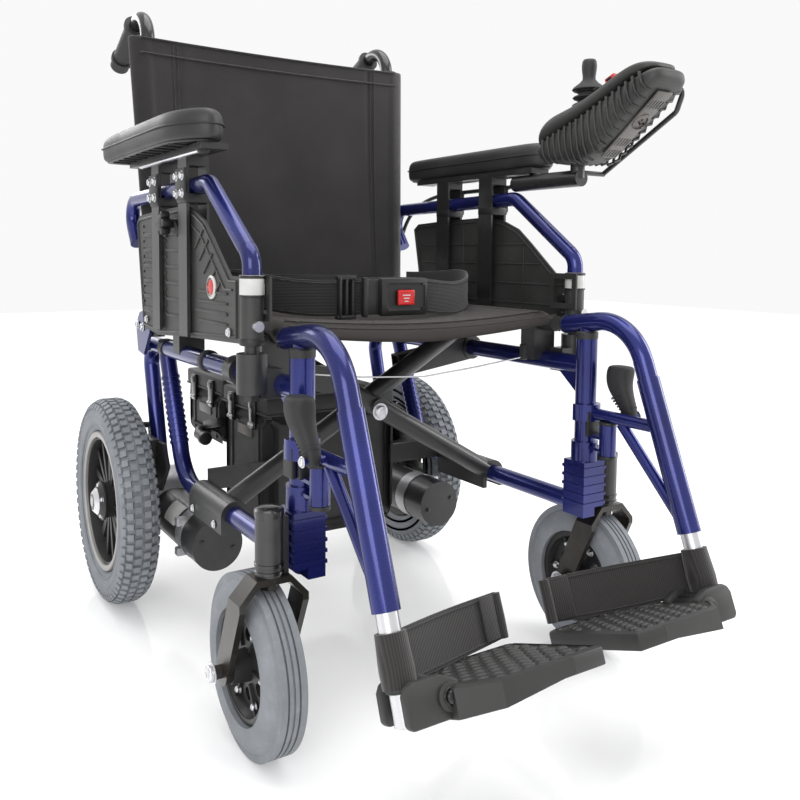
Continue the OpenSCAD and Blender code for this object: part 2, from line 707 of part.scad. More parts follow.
// One arm: foot clamp on its own lower rail, seat rail of the other side at its tip
module brace_arm(arm_y) {
    difference() {
        union() {
            y_cyl(fx, -72, lower_rail_z, rail_d + 14, 2 * foot_half_l);
            translate([fx - rail_d / 2 - 7, -72, lower_rail_z - 22])
                cube([rail_d + 14, 2 * foot_half_l, 22]);
            rod([fx, arm_y, lower_rail_z], [fx, arm_y, lower_rail_z] + arm_dir * (arm_len - 45), brace_d);
            rod([fx, arm_y, lower_rail_z] + arm_dir * (arm_len - 50), seat_tip + [0, arm_y, 0], 18);
        }
        y_cyl(fx, -80, lower_rail_z, rail_d + 2 * run_fit, 2 * foot_half_l + 20);
        translate([fx - rail_d / 2 - run_fit, -80, lower_rail_z - 30])
            cube([rail_d + 2 * run_fit, 2 * foot_half_l + 20, 30]);
    }
    y_cyl(-seat_rail_x, seat_rail_front_y, seat_rail_z, seat_rail_d, seat_rail_len);
}

module brace_arm_left() color(black) {
    brace_arm(brace_left_y);
    hub_z = lower_rail_z + (seat_rail_z - lower_rail_z) * fx / (fx + seat_rail_x);
    y_cyl(0, brace_left_y - brace_d / 2 - 6, hub_z, 22, 12);
}

module brace_arm_right() color(black) mirror([1, 0, 0]) brace_arm(brace_right_y);

link_left_y = -4;
link_right_y = -86;
link_len = 140;
link_drop = 8.5;

module brace_link(side) color(black) on_side(side)
    translate([fx, side == LEFT ? link_left_y : link_right_y, upper_rail_z]) rotate([0, -link_drop, 0]) difference() {
        union() {
            y_cyl(0, -12, 0, rail_d + 12, 24);
            translate([-link_len, -10, -18]) cube([link_len, 20, 34]);
        }
        y_cyl(0, -20, 0, rail_d + 2 * run_fit, 40);
        translate([-link_len - 1, -8, -16]) cube([link_len - 24, 16, 30]);
    }

// ---- batteries ----

rear_box_z = 238;
lid_h = 26;

module battery_box(y, z, h) {
    translate([-battery_w / 2, y, z]) cube([battery_w, battery_len, h - lid_h]);
    translate([-battery_w / 2 - 3, y - 1, z + h - lid_h]) cube([battery_w + 6, battery_len + 2, lid_h]);
    translate([-38, y + 40, z + h]) cube([76, 14, 10]);
}

module battery_front() color(dark_grey) battery_box(battery_front_y, battery_z, battery_h);

module battery_rear() color(dark_grey)
    battery_box(battery_front_y + battery_len + 2 + air, rear_box_z, battery_z + battery_h + 6 - rear_box_z);

// ---- controller ----

pod_x = 250;
pod_w = 74;
stick = [pod_x, -218, 752];
boot_d = 34;

module pod_outline() polygon([
    [-145, 690], [-141, 716], [-172, 754], [-212, 758], [-307, 796], [-332, 796], [-358, 780], [-354, 766],
    [-250, 690], [-165, 682]]);

module controller_case() color(dark_grey) difference() {
    side_plate(pod_x - pod_w / 2, pod_w) pod_outline();
    translate([stick.x, stick.y, stick.z - 24]) cylinder(h = 60, d = boot_d + 2 * air);
    translate([pod_x - 24, -290, 776]) rotate([-22, 0, 0]) cube([16 + 2 * air, 16 + 2 * air, 30]);
}

boom_z = 662;
guard_x = pod_x + 50;

module controller_arm() color(black) difference() {
    union() {
        rod([pod_x, -70, boom_z], [pod_x, -208, boom_z], 24);
        translate([pod_x, -200, boom_z]) cylinder(h = 40, d = 20);
        bent_tube([[guard_x, -200, boom_z + 8], [guard_x, -326, 742], [guard_x, -340, 776],
                   [guard_x, -296, 770], [pod_x + 20, -268, 778]], 10, 7);
        rod([guard_x, -202, boom_z + 8], [pod_x, -202, boom_z + 8], 7);
    }
    side_plate(pod_x - pod_w / 2 - fixed_fit, pod_w + 2 * fixed_fit) pod_outline();
}

module power_key() color(red) translate([pod_x - 24 + air, -290, 776]) rotate([-22, 0, 0])
    translate([0, air, 8]) cube([16, 16, 8]);

module joystick_boot() color(black) difference() {
    union() {
        translate(stick) sphere(d = boot_d);
        for (i = [0 : 1]) translate(stick + [0, 0, 15 + 5 * i]) cylinder(h = 5, d = 19 - 6 * i);
    }
    translate(stick - [0, 0, 8]) cylinder(h = 60, d = 7 + 2 * run_fit);
}

module joystick() color(black) {
    translate(stick - [0, 0, 4]) cylinder(h = 58, d = 7);
    translate(stick + [0, 0, 33]) cylinder(h = 26, d = 22);
    translate(stick + [0, 0, 61]) sphere(d = 21);
}

// Control cable from the back of the controller's boom, outside the armrest, down to a gland by the left cane
cable_d = 7;
cable_route = [[250, -69.6, 662], [252, -60, 661], [258, -50, 660], [265, -40, 660], [268, -24, 660], [268, 10, 660],
               [268, 50, 659], [268, 90, 659], [268, 130, 658], [267, 170, 655], [266, 205, 646], [264, 236, 630],
               [262, 256, 606], [259, 266, 576], [254, 268, 546], [248, 262, 516], [243, 253, 490], gland];

// Two directions across the cord at point i; the ends are cut square to Y and to Z
function way(p, i) = i == 0 ? [0, 1, 0] : i == len(p) - 1 ? [0, 0, -1] : unit(p[i + 1] - p[i - 1]);
function ring_frame(p, i) = let(t = way(p, i), s = unit(cross(t, [1, 0.01, 0]))) [s, cross(t, s)];

module swept_cord(p, d, sides = 8) {
    pts = [for (i = [0 : len(p) - 1], k = [0 : sides - 1])
        let(f = ring_frame(p, i)) p[i] + d / 2 * (cos(360 * k / sides) * f[0] + sin(360 * k / sides) * f[1])];
    walls = [for (i = [0 : len(p) - 2], k = [0 : sides - 1])
        let(a = i * sides + k, b = i * sides + (k + 1) % sides) [a, b, b + sides, a + sides]];
    ends = [[for (k = [sides - 1 : -1 : 0]) k], [for (k = [0 : sides - 1]) (len(p) - 1) * sides + k]];
    polyhedron(points = pts, faces = concat(walls, ends));
}

module control_cable() color(black) swept_cord(cable_route, cable_d);

// ---- nodes ----

set_down() side_frame(RIGHT);  // side_frame_right
set_down() side_frame(LEFT);  // side_frame_left
set_down() frame_fittings(RIGHT);  // frame_fittings_right
set_down() frame_fittings(LEFT);  // frame_fittings_left
set_down() caster_fork(RIGHT);  // caster_fork_right
set_down() caster_fork(LEFT);  // caster_fork_left
set_down() caster_rim(RIGHT);  // caster_rim_right
set_down() caster_rim(LEFT);  // caster_rim_left
set_down() caster_tyre(RIGHT);  // caster_tyre_right
set_down() caster_tyre(LEFT);  // caster_tyre_left
set_down() drive_rim(RIGHT);  // drive_rim_right
set_down() drive_rim(LEFT);  // drive_rim_left
set_down() drive_tyre(RIGHT);  // drive_tyre_right
set_down() drive_tyre(LEFT);  // drive_tyre_left
set_down() gearbox(RIGHT);  // gearbox_right
set_down() gearbox(LEFT);  // gearbox_left
set_down() motor(RIGHT);  // motor_right
set_down() motor(LEFT);  // motor_left
set_down() release_lever(RIGHT);  // release_lever_right
set_down() release_lever(LEFT);  // release_lever_left
set_down() hanger(RIGHT);  // hanger_right
set_down() hanger(LEFT);  // hanger_left
set_down() hanger_lever(RIGHT);  // hanger_lever_right
set_down() hanger_lever(LEFT);  // hanger_lever_left
set_down() footrest_tube(RIGHT);  // footrest_tube_right
set_down() footrest_tube(LEFT);  // footrest_tube_left
set_down() footplate(RIGHT);  // footplate_right
set_down() footplate(LEFT);  // footplate_left
set_down() heel_strap(RIGHT);  // heel_strap_right
set_down() heel_strap(LEFT);  // heel_strap_left
set_down() armrest_tube(RIGHT);  // armrest_tube_right
set_down() armrest_tube(LEFT);  // armrest_tube_left
set_down() side_panel(RIGHT);  // side_panel_right
set_down() side_panel(LEFT);  // side_panel_left
set_down() pad_posts(RIGHT);  // pad_posts_right
set_down() pad_posts(LEFT);  // pad_posts_left
set_down() arm_pad(RIGHT);  // arm_pad_right
set_down() arm_pad(LEFT);  // arm_pad_left
set_down() arm_button(RIGHT);  // arm_button_right
set_down() arm_button(LEFT);  // arm_button_left
set_down() back_cane(RIGHT);  // back_cane_right
set_down() back_cane(LEFT);  // back_cane_left
set_down() push_grip(RIGHT);  // push_grip_right
set_down() push_grip(LEFT);  // push_grip_left
set_down() brace_link(RIGHT);  // brace_link_right
set_down() brace_link(LEFT);  // brace_link_left
set_down() brace_arm_right();
set_down() brace_arm_left();
set_down() back_sling();
set_down() seat_sling();
set_down() battery_front();
set_down() battery_rear();
set_down() lap_belt();
set_down() belt_button();
set_down() controller_case();
set_down() controller_arm();
set_down() power_key();
set_down() joystick_boot();
set_down() joystick();
set_down() control_cable();
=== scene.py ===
"""A folding power wheelchair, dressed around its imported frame. Lengths below are in millimetres."""

import math

import bpy
from mathutils import Matrix, Vector


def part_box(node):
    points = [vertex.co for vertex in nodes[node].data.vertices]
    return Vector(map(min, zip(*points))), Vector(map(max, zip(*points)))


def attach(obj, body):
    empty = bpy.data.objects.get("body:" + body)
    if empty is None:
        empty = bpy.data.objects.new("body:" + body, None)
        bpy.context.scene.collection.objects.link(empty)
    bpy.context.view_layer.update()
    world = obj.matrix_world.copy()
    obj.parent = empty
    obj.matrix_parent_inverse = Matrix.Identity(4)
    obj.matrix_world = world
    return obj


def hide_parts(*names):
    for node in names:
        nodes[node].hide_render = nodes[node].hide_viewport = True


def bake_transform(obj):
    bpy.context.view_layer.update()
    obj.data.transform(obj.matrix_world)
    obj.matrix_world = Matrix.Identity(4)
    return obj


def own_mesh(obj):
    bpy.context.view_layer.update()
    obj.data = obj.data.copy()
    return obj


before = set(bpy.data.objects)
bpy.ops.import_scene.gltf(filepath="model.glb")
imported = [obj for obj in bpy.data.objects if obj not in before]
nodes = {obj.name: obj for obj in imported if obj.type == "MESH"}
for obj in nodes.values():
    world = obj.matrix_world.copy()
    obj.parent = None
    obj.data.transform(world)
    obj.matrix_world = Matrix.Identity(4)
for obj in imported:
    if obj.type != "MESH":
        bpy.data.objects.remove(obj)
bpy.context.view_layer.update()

MM = 0.001
LEFT, RIGHT = 1, -1
SIDE_NAME = {LEFT: "left", RIGHT: "right"}
X, Y, Z = Vector((1, 0, 0)), Vector((0, 1, 0)), Vector((0, 0, 1))

# The frame's own lengths start at the seat's cross line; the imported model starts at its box's middle
DRIVE_AXLE_Y = 276
drive_low, drive_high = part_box("drive_tyre_left")
SHIFT = (drive_low.y + drive_high.y) / 2 / MM - DRIVE_AXLE_Y

# Places that many pieces share, on the left side
TUBE_X = 213
CASTER = (253, -227, 100)
STEM_X, STEM_Y = 253, -264
WHEEL = (276, DRIVE_AXLE_Y, 160)
MOTOR_X, MOTOR_Z = 193, 140
SOCKET_X, SOCKET_Y = 246, -204


def at(x, y, z):
    """A place in the chair, in metres."""
    return Vector((x * MM, (y + SHIFT) * MM, z * MM))


# ---- camera, light and floor ----

def set_camera():
    camera = bpy.data.objects.new("camera", bpy.data.cameras.new("camera"))
    bpy.context.scene.collection.objects.link(camera)
    camera.location = at(-617, -1067, 554)
    camera.rotation_euler = (math.radians(90 - 3.88), math.radians(-0.46), math.radians(-32.13))
    camera.data.sensor_width = 36
    camera.data.lens = 37.8
    camera.data.shift_x = 0.021
    camera.data.shift_y = -0.112
    bpy.context.scene.camera = camera


def area_light(name, place, target, size, watts):
    light = bpy.data.objects.new(name, bpy.data.lights.new(name, "AREA"))
    bpy.context.scene.collection.objects.link(light)
    light.location = place
    light.rotation_euler = (Vector(target) - Vector(place)).to_track_quat("-Z", "Y").to_euler()
    light.data.shape = "RECTANGLE"
    light.data.size, light.data.size_y = size
    light.data.energy = watts


def light_studio():
    area_light("softbox_top", (0.2, -0.2, 2.6), (0, 0, 0.4), (2.2, 2.2), 42)
    area_light("softbox_front", (-2.2, -2.2, 1.5), (0, 0, 0.5), (1.8, 1.5), 34)
    area_light("strip_right", (2.4, -0.8, 1.3), (0, 0, 0.5), (0.7, 2.0), 30)
    area_light("strip_back", (-0.8, 2.4, 1.6), (0, 0, 0.6), (2.0, 0.8), 20)
    world = bpy.data.worlds.new("studio")
    world.use_nodes = True
    world.node_tree.nodes["Background"].inputs["Color"].default_value = (1, 1, 1, 1)
    world.node_tree.nodes["Background"].inputs["Strength"].default_value = 0.95
    bpy.context.scene.world = world
    bpy.context.scene.view_settings.view_transform = "Standard"


# ---- shader expressions ----

class Value:
    """A shader socket that takes part in Python arithmetic; each operator adds a Math node."""

    def __init__(self, finish, socket):
        self.finish = finish
        self.socket = socket

    def math(self, operation, *others):
        return self.finish.node("ShaderNodeMath", {"operation": operation}, [self, *others])

    def __add__(self, other): return self.math("ADD", other)
    def __mul__(self, other): return self.math("MULTIPLY", other)
    def __sub__(self, other): return self.math("SUBTRACT", other)
    __radd__ = __add__
    __rmul__ = __mul__

    def sine(self): return self.math("SINE")

    def lift(self, low, high):
        """0 under low, 1 over high, smooth between."""
        return self.finish.node("ShaderNodeMapRange", {"interpolation_type": "SMOOTHSTEP"},
                                {"Value": self, "From Min": low, "From Max": high})


class Finish:
    """One material: a Principled shader and the nodes behind its sockets."""

    def __init__(self, name, **plain):
        self.material = bpy.data.materials.new(name)
        self.material.use_nodes = True
        self.tree = self.material.node_tree
        self.shader = self.tree.nodes["Principled BSDF"]
        for socket, value in plain.items():
            self.set(socket.replace("_", " "), value)

    def set(self, socket, value):
        target = self.shader.inputs[socket]
        if isinstance(value, Value):
            self.tree.links.new(value.socket, target)
        elif isinstance(value, tuple) and len(value) == 3 and target.type == "RGBA":
            target.default_value = (*value, 1)
        else:
            target.default_value = value
        return self

    def node(self, kind, settings=None, inputs=(), output=0):
        made = self.tree.nodes.new(kind)
        for name, value in (settings or {}).items():
            setattr(made, name, value)
        pairs = inputs.items() if isinstance(inputs, dict) else enumerate(inputs)
        for key, value in pairs:
            if isinstance(value, Value):
                self.tree.links.new(value.socket, made.inputs[key])
            elif isinstance(value, tuple) and len(value) == 3 and made.inputs[key].type == "RGBA":
                made.inputs[key].default_value = (*value, 1)
            else:
                made.inputs[key].default_value = value
        return Value(self, made.outputs[output])

    def place(self):
        return self.node("ShaderNodeTexCoord", output="Object")

    def along(self, axis):
        return self.node("ShaderNodeSeparateXYZ", None, [self.place()], output=axis)

    def noise(self, scale, detail=3.0, roughness=0.5, stretch=None):
        place = self.place()
        if stretch:
            place = self.node("ShaderNodeMapping", None, {"Vector": place, "Scale": stretch})
        return self.node("ShaderNodeTexNoise", None, {"Vector": place, "Scale": scale, "Detail": detail,
                                                      "Roughness": roughness})

    def cells(self, scale):
        return self.node("ShaderNodeTexVoronoi", {"feature": "F1"}, {"Vector": self.place(), "Scale": scale})

    def mix(self, mask, low, high):
        return self.node("ShaderNodeMix", {"data_type": "RGBA"}, {0: mask, 6: low, 7: high}, output=2)

    def bump(self, height, distance, strength=0.6):
        normal = self.node("ShaderNodeBump", None, {"Height": height, "Distance": distance, "Strength": strength})
        self.set("Normal", normal)
        return self


def enamel(name, deep, bright):
    """Metallic enamel with a fine flake, a clear coat and a little dust in its tone."""
    f = Finish(name, Metallic=0.6, Coat_Weight=0.45, Coat_Roughness=0.07)
    flake = f.cells(1900).lift(0.25, 0.8)
    tone = f.noise(9, 4).lift(0.3, 0.7)
    f.set("Base Color", f.mix(flake * 0.35 + tone * 0.45, deep, bright))
    f.set("Roughness", flake * 0.10 + 0.22)
    return f.bump(f.noise(260, 2), 0.0001, 0.15).material


def satin(name, colour, roughness=0.38, metallic=0.0):
    """Powder coat: a fine orange peel and slightly rubbed patches."""
    f = Finish(name, Metallic=metallic, Coat_Weight=0.25, Coat_Roughness=0.2)
    worn = f.noise(14, 5, 0.6).lift(0.45, 0.75)
    lighter = tuple(c * 1.5 + 0.012 for c in colour)
    f.set("Base Color", f.mix(worn, colour, lighter))
    f.set("Roughness", worn * 0.12 + roughness)
    return f.bump(f.noise(900, 2), 0.00012, 0.35).material


def moulded(name, colour, roughness=0.5, grain=1400, depth=0.00012):
    """Moulded plastic with a leathery grain and soft handling marks."""
    f = Finish(name, Specular_IOR_Level=0.45)
    marks = f.noise(11, 4, 0.55).lift(0.35, 0.8)
    f.set("Base Color", f.mix(marks, tuple(c * 0.8 for c in colour), tuple(c * 1.3 + 0.004 for c in colour)))
    f.set("Roughness", marks * 0.16 + roughness - 0.05)
    return f.bump(f.cells(grain) * 0.7 + f.noise(grain * 0.6, 3) * 0.5, depth, 0.55).material


def metal(name, colour, roughness):
    """Bare metal with fine drawn lines."""
    f = Finish(name, Metallic=1.0)
    lines = f.noise(160, 3, 0.6, (1, 1, 12))
    f.set("Base Color", f.mix(lines, tuple(c * 0.82 for c in colour), colour))
    f.set("Roughness", lines * 0.22 + roughness)
    return f.bump(lines, 0.00004, 0.2).material


def cast(name, colour):
    """Cast alloy: a sandy skin."""
    f = Finish(name, Metallic=0.9)
    sand = f.noise(700, 4, 0.7)
    f.set("Base Color", f.mix(f.noise(24, 4).lift(0.3, 0.8), tuple(c * 0.6 for c in colour), colour))
    f.set("Roughness", sand * 0.25 + 0.35)
    return f.bump(sand, 0.0003, 0.5).material


def tyre_rubber(name, colour):
    """Grey rubber, dusty in the hollows and polished where it rolls."""
    f = Finish(name, Specular_IOR_Level=0.3)
    dust = f.noise(22, 5, 0.6).lift(0.35, 0.75)
    scuff = f.noise(120, 3, 0.6).lift(0.5, 0.7)
    dark, light = tuple(c * 0.8 for c in colour), tuple(c * 1.12 for c in colour)
    f.set("Base Color", f.mix(dust * 0.7 + scuff * 0.25, dark, light))
    f.set("Roughness", dust * 0.15 + 0.62)
    return f.bump(f.noise(620, 3), 0.0002, 0.5).material


def weave(name, dark, light, across, up, pitch=1.5, sheen=0.4):
    """Plain weave whose threads run along two of the object's axes, with a slub in the yarn."""
    f = Finish(name, Sheen_Weight=sheen, Sheen_Roughness=0.45, Specular_IOR_Level=0.2)
    turns = 2 * math.pi / (pitch * MM)
    slub = f.noise(90, 3, 0.6)
    a = (f.along(across) * turns + slub * 1.2).sine()
    b = (f.along(up) * turns + slub * 1.2).sine()
    thread = (a * b) * 0.5 + 0.5
    wear = f.noise(7, 4, 0.6).lift(0.35, 0.75)
    f.set("Base Color", f.mix(thread * 0.55 + wear * 0.35, dark, light))
    f.set("Roughness", thread * 0.12 + 0.78)
    return f.bump(thread + slub * 0.5, 0.0004, 0.75).material


def webbing(name, dark, light, along, pitch=1.9):
    """Woven strap: ribs across the strap and a herringbone tone."""
    f = Finish(name, Sheen_Weight=0.25, Specular_IOR_Level=0.3)
    rib = (f.along(along) * (2 * math.pi / (pitch * MM))).sine() * 0.5 + 0.5
    yarn = f.noise(240, 3, 0.6)
    f.set("Base Color", f.mix(rib * 0.6 + yarn * 0.4, dark, light))
    f.set("Roughness", yarn * 0.15 + 0.6)
    return f.bump(rib + yarn * 0.4, 0.0004, 0.7).material


BLUE = enamel("blue_enamel", (0.005, 0.007, 0.075), (0.018, 0.027, 0.21))
BLACK_GLOSS = satin("black_gloss", (0.006, 0.006, 0.007), 0.2)
BLACK_SATIN = satin("black_satin", (0.012, 0.012, 0.012), 0.42)
BRONZE = satin("bronze_black", (0.020, 0.017, 0.014), 0.3, 0.5)
BLACK_PLASTIC = moulded("black_plastic", (0.013, 0.013, 0.013), 0.45)
DARK_PLASTIC = moulded("dark_plastic", (0.026, 0.026, 0.025), 0.5)
PANEL_PLASTIC = moulded("panel_plastic", (0.030, 0.030, 0.029), 0.48, 1700, 0.00016)
PAD_SKIN = moulded("pad_skin", (0.022, 0.022, 0.022), 0.5, 900, 0.0002)
GRIP_RUBBER = moulded("grip_rubber", (0.014, 0.014, 0.015), 0.6, 1100, 0.0002)
BATTERY_PLASTIC = moulded("battery_plastic", (0.020, 0.020, 0.020), 0.55, 1200, 0.0002)
STEEL = metal("bright_steel", (0.72, 0.72, 0.74), 0.2)
ALLOY = cast("cast_alloy", (0.62, 0.62, 0.64))
GREY_TYRE = tyre_rubber("grey_tyre", (0.235, 0.25, 0.27))
BACK_CLOTH = weave("back_cloth", (0.013, 0.012, 0.012), (0.040, 0.036, 0.036), "X", "Z")
SEAT_CLOTH = weave("seat_cloth", (0.012, 0.009, 0.0085), (0.034, 0.027, 0.025), "X", "Y", 1.5, 0.15)
BELT_WEB = webbing("belt_webbing", (0.006, 0.006, 0.006), (0.030, 0.029, 0.028), "Z")
STRAP_WEB = webbing("strap_webbing", (0.008, 0.007, 0.007), (0.034, 0.031, 0.030), "X", 2.4)
STRIP_PLASTIC = moulded("strip_plastic", (0.10, 0.092, 0.085), 0.4, 1300, 0.0001)
BEAD_GREY = moulded("bead_grey", (0.30, 0.29, 0.28), 0.4, 900, 0.00006)
RED_PLASTIC = moulded("red_plastic", (0.62, 0.02, 0.02), 0.25, 900, 0.00003)
WHITE_PLASTIC = moulded("white_plastic", (0.62, 0.62, 0.60), 0.35, 900, 0.00003)


# ---- modelling with operators ----

def object_mode():
    if bpy.context.object and bpy.context.object.mode != "OBJECT":
        bpy.ops.object.mode_set(mode="OBJECT")


def only(piece):
    object_mode()
    bpy.ops.object.select_all(action="DESELECT")
    piece.select_set(True)
    bpy.context.view_layer.objects.active = piece
    return piece


def add(kind, **settings):
    """A new primitive, the only thing selected."""
    object_mode()
    bpy.ops.object.select_all(action="DESELECT")
    getattr(bpy.ops.mesh, f"primitive_{kind}_add")(**settings)
    return bpy.context.object


def turned(axis):
    """The turn that takes +Z to axis."""
    return Vector(axis).to_track_quat("Z", "Y").to_euler()


def settle(piece):
    """Puts the piece's place into its mesh."""
    only(piece)
    bpy.ops.object.transform_apply(location=True, rotation=True, scale=True)
    return piece


def pick(piece, test):
    """Selects the faces whose middle and normal pass the test, and opens edit mode on them."""
    only(piece)
    mesh = piece.data
    for group in (mesh.vertices, mesh.edges, mesh.polygons):
        group.foreach_set("select", [False] * len(group))
    for face in mesh.polygons:
        face.select = bool(test(face.center, face.normal))
    bpy.ops.object.mode_set(mode="EDIT")
    bpy.ops.mesh.select_mode(type="FACE")


def extrude(vector):
    bpy.ops.mesh.extrude_region_move(TRANSFORM_OT_translate={"value": tuple(vector)})


def sink(piece, test, rim, step):
    """Sinks the picked face by the step, inside a rim of that width."""
    pick(piece, test)
    bpy.ops.mesh.inset(thickness=rim * MM)
    extrude(Vector(step) * MM)
    object_mode()


def shape(piece, kind, **settings):
    """Adds a modifier and applies it."""
    only(piece)
    made = piece.modifiers.new(kind.lower(), kind)
    for name, value in settings.items():
        setattr(made, name, value)
    bpy.ops.object.modifier_apply(modifier=made.name)
    return piece


def soften(piece, width, segments=2, angle=30):
    return shape(piece, "BEVEL", width=width * MM, segments=segments, limit_method="ANGLE",
                 angle_limit=math.radians(angle), harden_normals=False)


def join(pieces):
    object_mode()
    bpy.ops.object.select_all(action="DESELECT")
    for piece in pieces:
        piece.select_set(True)
    bpy.context.view_layer.objects.active = pieces[0]
    if len(pieces) > 1:
        bpy.ops.object.join()
    return pieces[0]


def copy(piece, matrix):
    """A copy with its own mesh, moved by a matrix."""
    twin = piece.copy()
    twin.data = piece.data.copy()
    bpy.context.scene.collection.objects.link(twin)
    twin.data.transform(matrix)
    if matrix.determinant() < 0:
        twin.data.flip_normals()
    return twin


def repeat(piece, matrices):
    """The piece and its copies, joined."""
    return join([piece] + [copy(piece, m) for m in matrices])


def mirrored(piece):
    return copy(piece, Matrix.Diagonal((-1, 1, 1, 1)))


def stand_in(pieces, node):
    """The left and right pieces take the place of the frame's own."""
    for side, piece in zip(SIDE_NAME.values(), pieces):
        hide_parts(f"{node}_{side}")


def dress(piece, name, slot, material, smooth=38):
    """Names the piece and gives it its finish."""
    settle(piece)
    piece.name = name
    piece.data.name = name
    bpy.ops.object.shade_smooth_by_angle(angle=math.radians(smooth))
    piece.data.materials.clear()
    piece.data.materials.append(material)
    return piece


def finish(piece, name, body, slot, material, smooth=38):
    """Dresses the piece and seats it on its body."""
    dress(piece, name, slot, material, smooth)
    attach(piece, body)
    return piece


def finish_both(piece, name, body, slot, material, smooth=38):
    """The left piece and its mirror image on the right."""
    settle(piece)
    twin = mirrored(piece)
    return (finish(piece, f"{name}_left", body.format(side="left"), slot, material, smooth),
            finish(twin, f"{name}_right", body.format(side="right"), slot, material, smooth))


def drum(centre, axis, radius, height, sides=40, edge=0.8):
    """A turned disc with softened rims, centred on its place."""
    piece = add("cylinder", vertices=sides, radius=radius * MM, depth=height * MM, location=at(*centre),
                rotation=turned(axis))
    settle(piece)
    return soften(piece, min(edge, height * 0.4, radius * 0.4), 2, 40) if edge else piece


def block(centre, size, edge=1.0, turn=(0, 0, 0)):
    """A block with softened edges."""
    piece = add("cube", size=1, location=at(*centre), rotation=[math.radians(a) for a in turn])
    piece.scale = [s * MM for s in size]
    settle(piece)
    return soften(piece, min(edge, min(size) * 0.4), 2) if edge else piece


def plate(outline, lift, thickness, edge=0.8):
    """An outline of places given by lift(u, v), filled and drawn out along the vector thickness."""
    piece = add("circle", vertices=len(outline), radius=0.1, fill_type="NGON")
    for vertex, (u, v) in zip(piece.data.vertices, outline):
        vertex.co = lift(u, v)
    pick(piece, lambda c, n: True)
    extrude(Vector(thickness) * MM)
    bpy.ops.mesh.select_all(action="SELECT")
    bpy.ops.mesh.normals_make_consistent(inside=False)
    object_mode()
    return soften(piece, edge, 2) if edge else piece


def bar(points, radius, name="bar", sides=10, smooth=False):
    """A round bar or wire through places, as a mesh."""
    curve = bpy.data.curves.new(name, "CURVE")
    curve.dimensions = "3D"
    spline = curve.splines.new("NURBS" if smooth else "POLY")
    spline.points.add(len(points) - 1)
    for point, place in zip(spline.points, points):
        point.co = (*at(*place), 1)
    spline.use_endpoint_u = True
    spline.order_u = 3
    curve.resolution_u = 6
    curve.bevel_depth = radius * MM
    curve.bevel_resolution = max(1, sides // 4)
    curve.use_fill_caps = True
    piece = bpy.data.objects.new(name, curve)
    bpy.context.scene.collection.objects.link(piece)
    only(piece)
    bpy.ops.object.convert(target="MESH")
    return bpy.context.object


def bolt(centre, axis, radius, height):
    """A button-head bolt with a hexagon socket and a washer under it."""
    axis = Vector(axis).normalized()

    def turned_part(sides, wide, high, along):
        return settle(add("cylinder", vertices=sides, radius=wide * MM, depth=high * MM, rotation=turned(axis),
                          location=at(*centre) + axis * along * MM))

    head = soften(turned_part(24, radius, height, height / 2), height * 0.35, 3, 40)
    cup = turned_part(6, radius * 0.45, height * 0.5, height * 0.86)
    sink(cup, lambda c, n: n.dot(axis) > 0.9, radius * 0.08, -axis * height * 0.3)
    washer = soften(turned_part(28, radius * 1.35, 1.0, 0.3), 0.25, 1, 40)
    return join([head, cup, washer])


# ---- finishes of the frame's own pieces ----

FINISHES = {
    "side_frame": BLUE, "frame_fittings": BLACK_SATIN, "caster_fork": BRONZE, "caster_rim": BLACK_PLASTIC,
    "caster_tyre": GREY_TYRE, "drive_rim": BLACK_PLASTIC, "drive_tyre": GREY_TYRE, "gearbox": ALLOY,
    "motor": BLACK_SATIN, "release_lever": BLACK_PLASTIC, "hanger": BLUE, "hanger_lever": GRIP_RUBBER,
    "footrest_tube": STEEL, "footplate": DARK_PLASTIC, "heel_strap": STRAP_WEB, "armrest_tube": BLUE,
    "side_panel": PANEL_PLASTIC, "pad_posts": BLACK_SATIN, "arm_pad": PAD_SKIN, "arm_button": STEEL,
    "back_cane": BLACK_GLOSS, "push_grip": GRIP_RUBBER, "brace_link": BLACK_SATIN, "brace_arm": BLACK_SATIN,
    "back_sling": BACK_CLOTH, "seat_sling": SEAT_CLOTH, "battery_front": BATTERY_PLASTIC,
    "battery_rear": BATTERY_PLASTIC, "lap_belt": BELT_WEB, "belt_button": RED_PLASTIC,
    "controller_case": PANEL_PLASTIC, "controller_arm": BLACK_SATIN, "power_key": RED_PLASTIC,
    "joystick_boot": GRIP_RUBBER, "joystick": BLACK_PLASTIC, "control_cable": BLACK_PLASTIC}


def dress_frame():
    for name, piece in nodes.items():
        kind = name.removesuffix("_left").removesuffix("_right")
        piece.data.materials.clear()
        piece.data.materials.append(FINISHES[kind])


def lay_floor():
    f = Finish("floor", Specular_IOR_Level=0.6)
    f.set("Base Color", (0.9, 0.9, 0.9))
    f.set("Emission Color", (1.0, 1.0, 1.0))
    f.set("Emission Strength", 0.16)
    f.set("Roughness", f.noise(3, 3) * 0.03 + 0.07)
    piece = add("plane", size=14, location=(0, 0, -0.001))
    piece.name = "floor"
    piece.data.materials.append(f.material)


# ---- upholstery ----

CANE_LEAN = math.tan(math.radians(4.5))
CANE_FOOT_Z = 421.5
BACK_TOP, BACK_LOW = 886, 470
BACK_SEAM = 174
SLEEVE_LOW = 572
SEAT_HALF = 217


def cane_y(z):
    """The cane's middle at a height; it leans back."""
    return 224 + (z - CANE_FOOT_Z) * CANE_LEAN


def back_hollow(across, v):
    """How far the back sinks between its canes."""
    return 16 * (1 - across ** 2) * (0.35 + 0.65 * math.sin(math.pi * min(1, max(0, v))))


def back_y(x, z):
    """The front face of the back, for its seams."""
    v = (z - BACK_LOW) / (BACK_TOP - BACK_LOW)
    return cane_y(z) - 13.5 + back_hollow(x / (233 + 18 * v), v) - 2.2


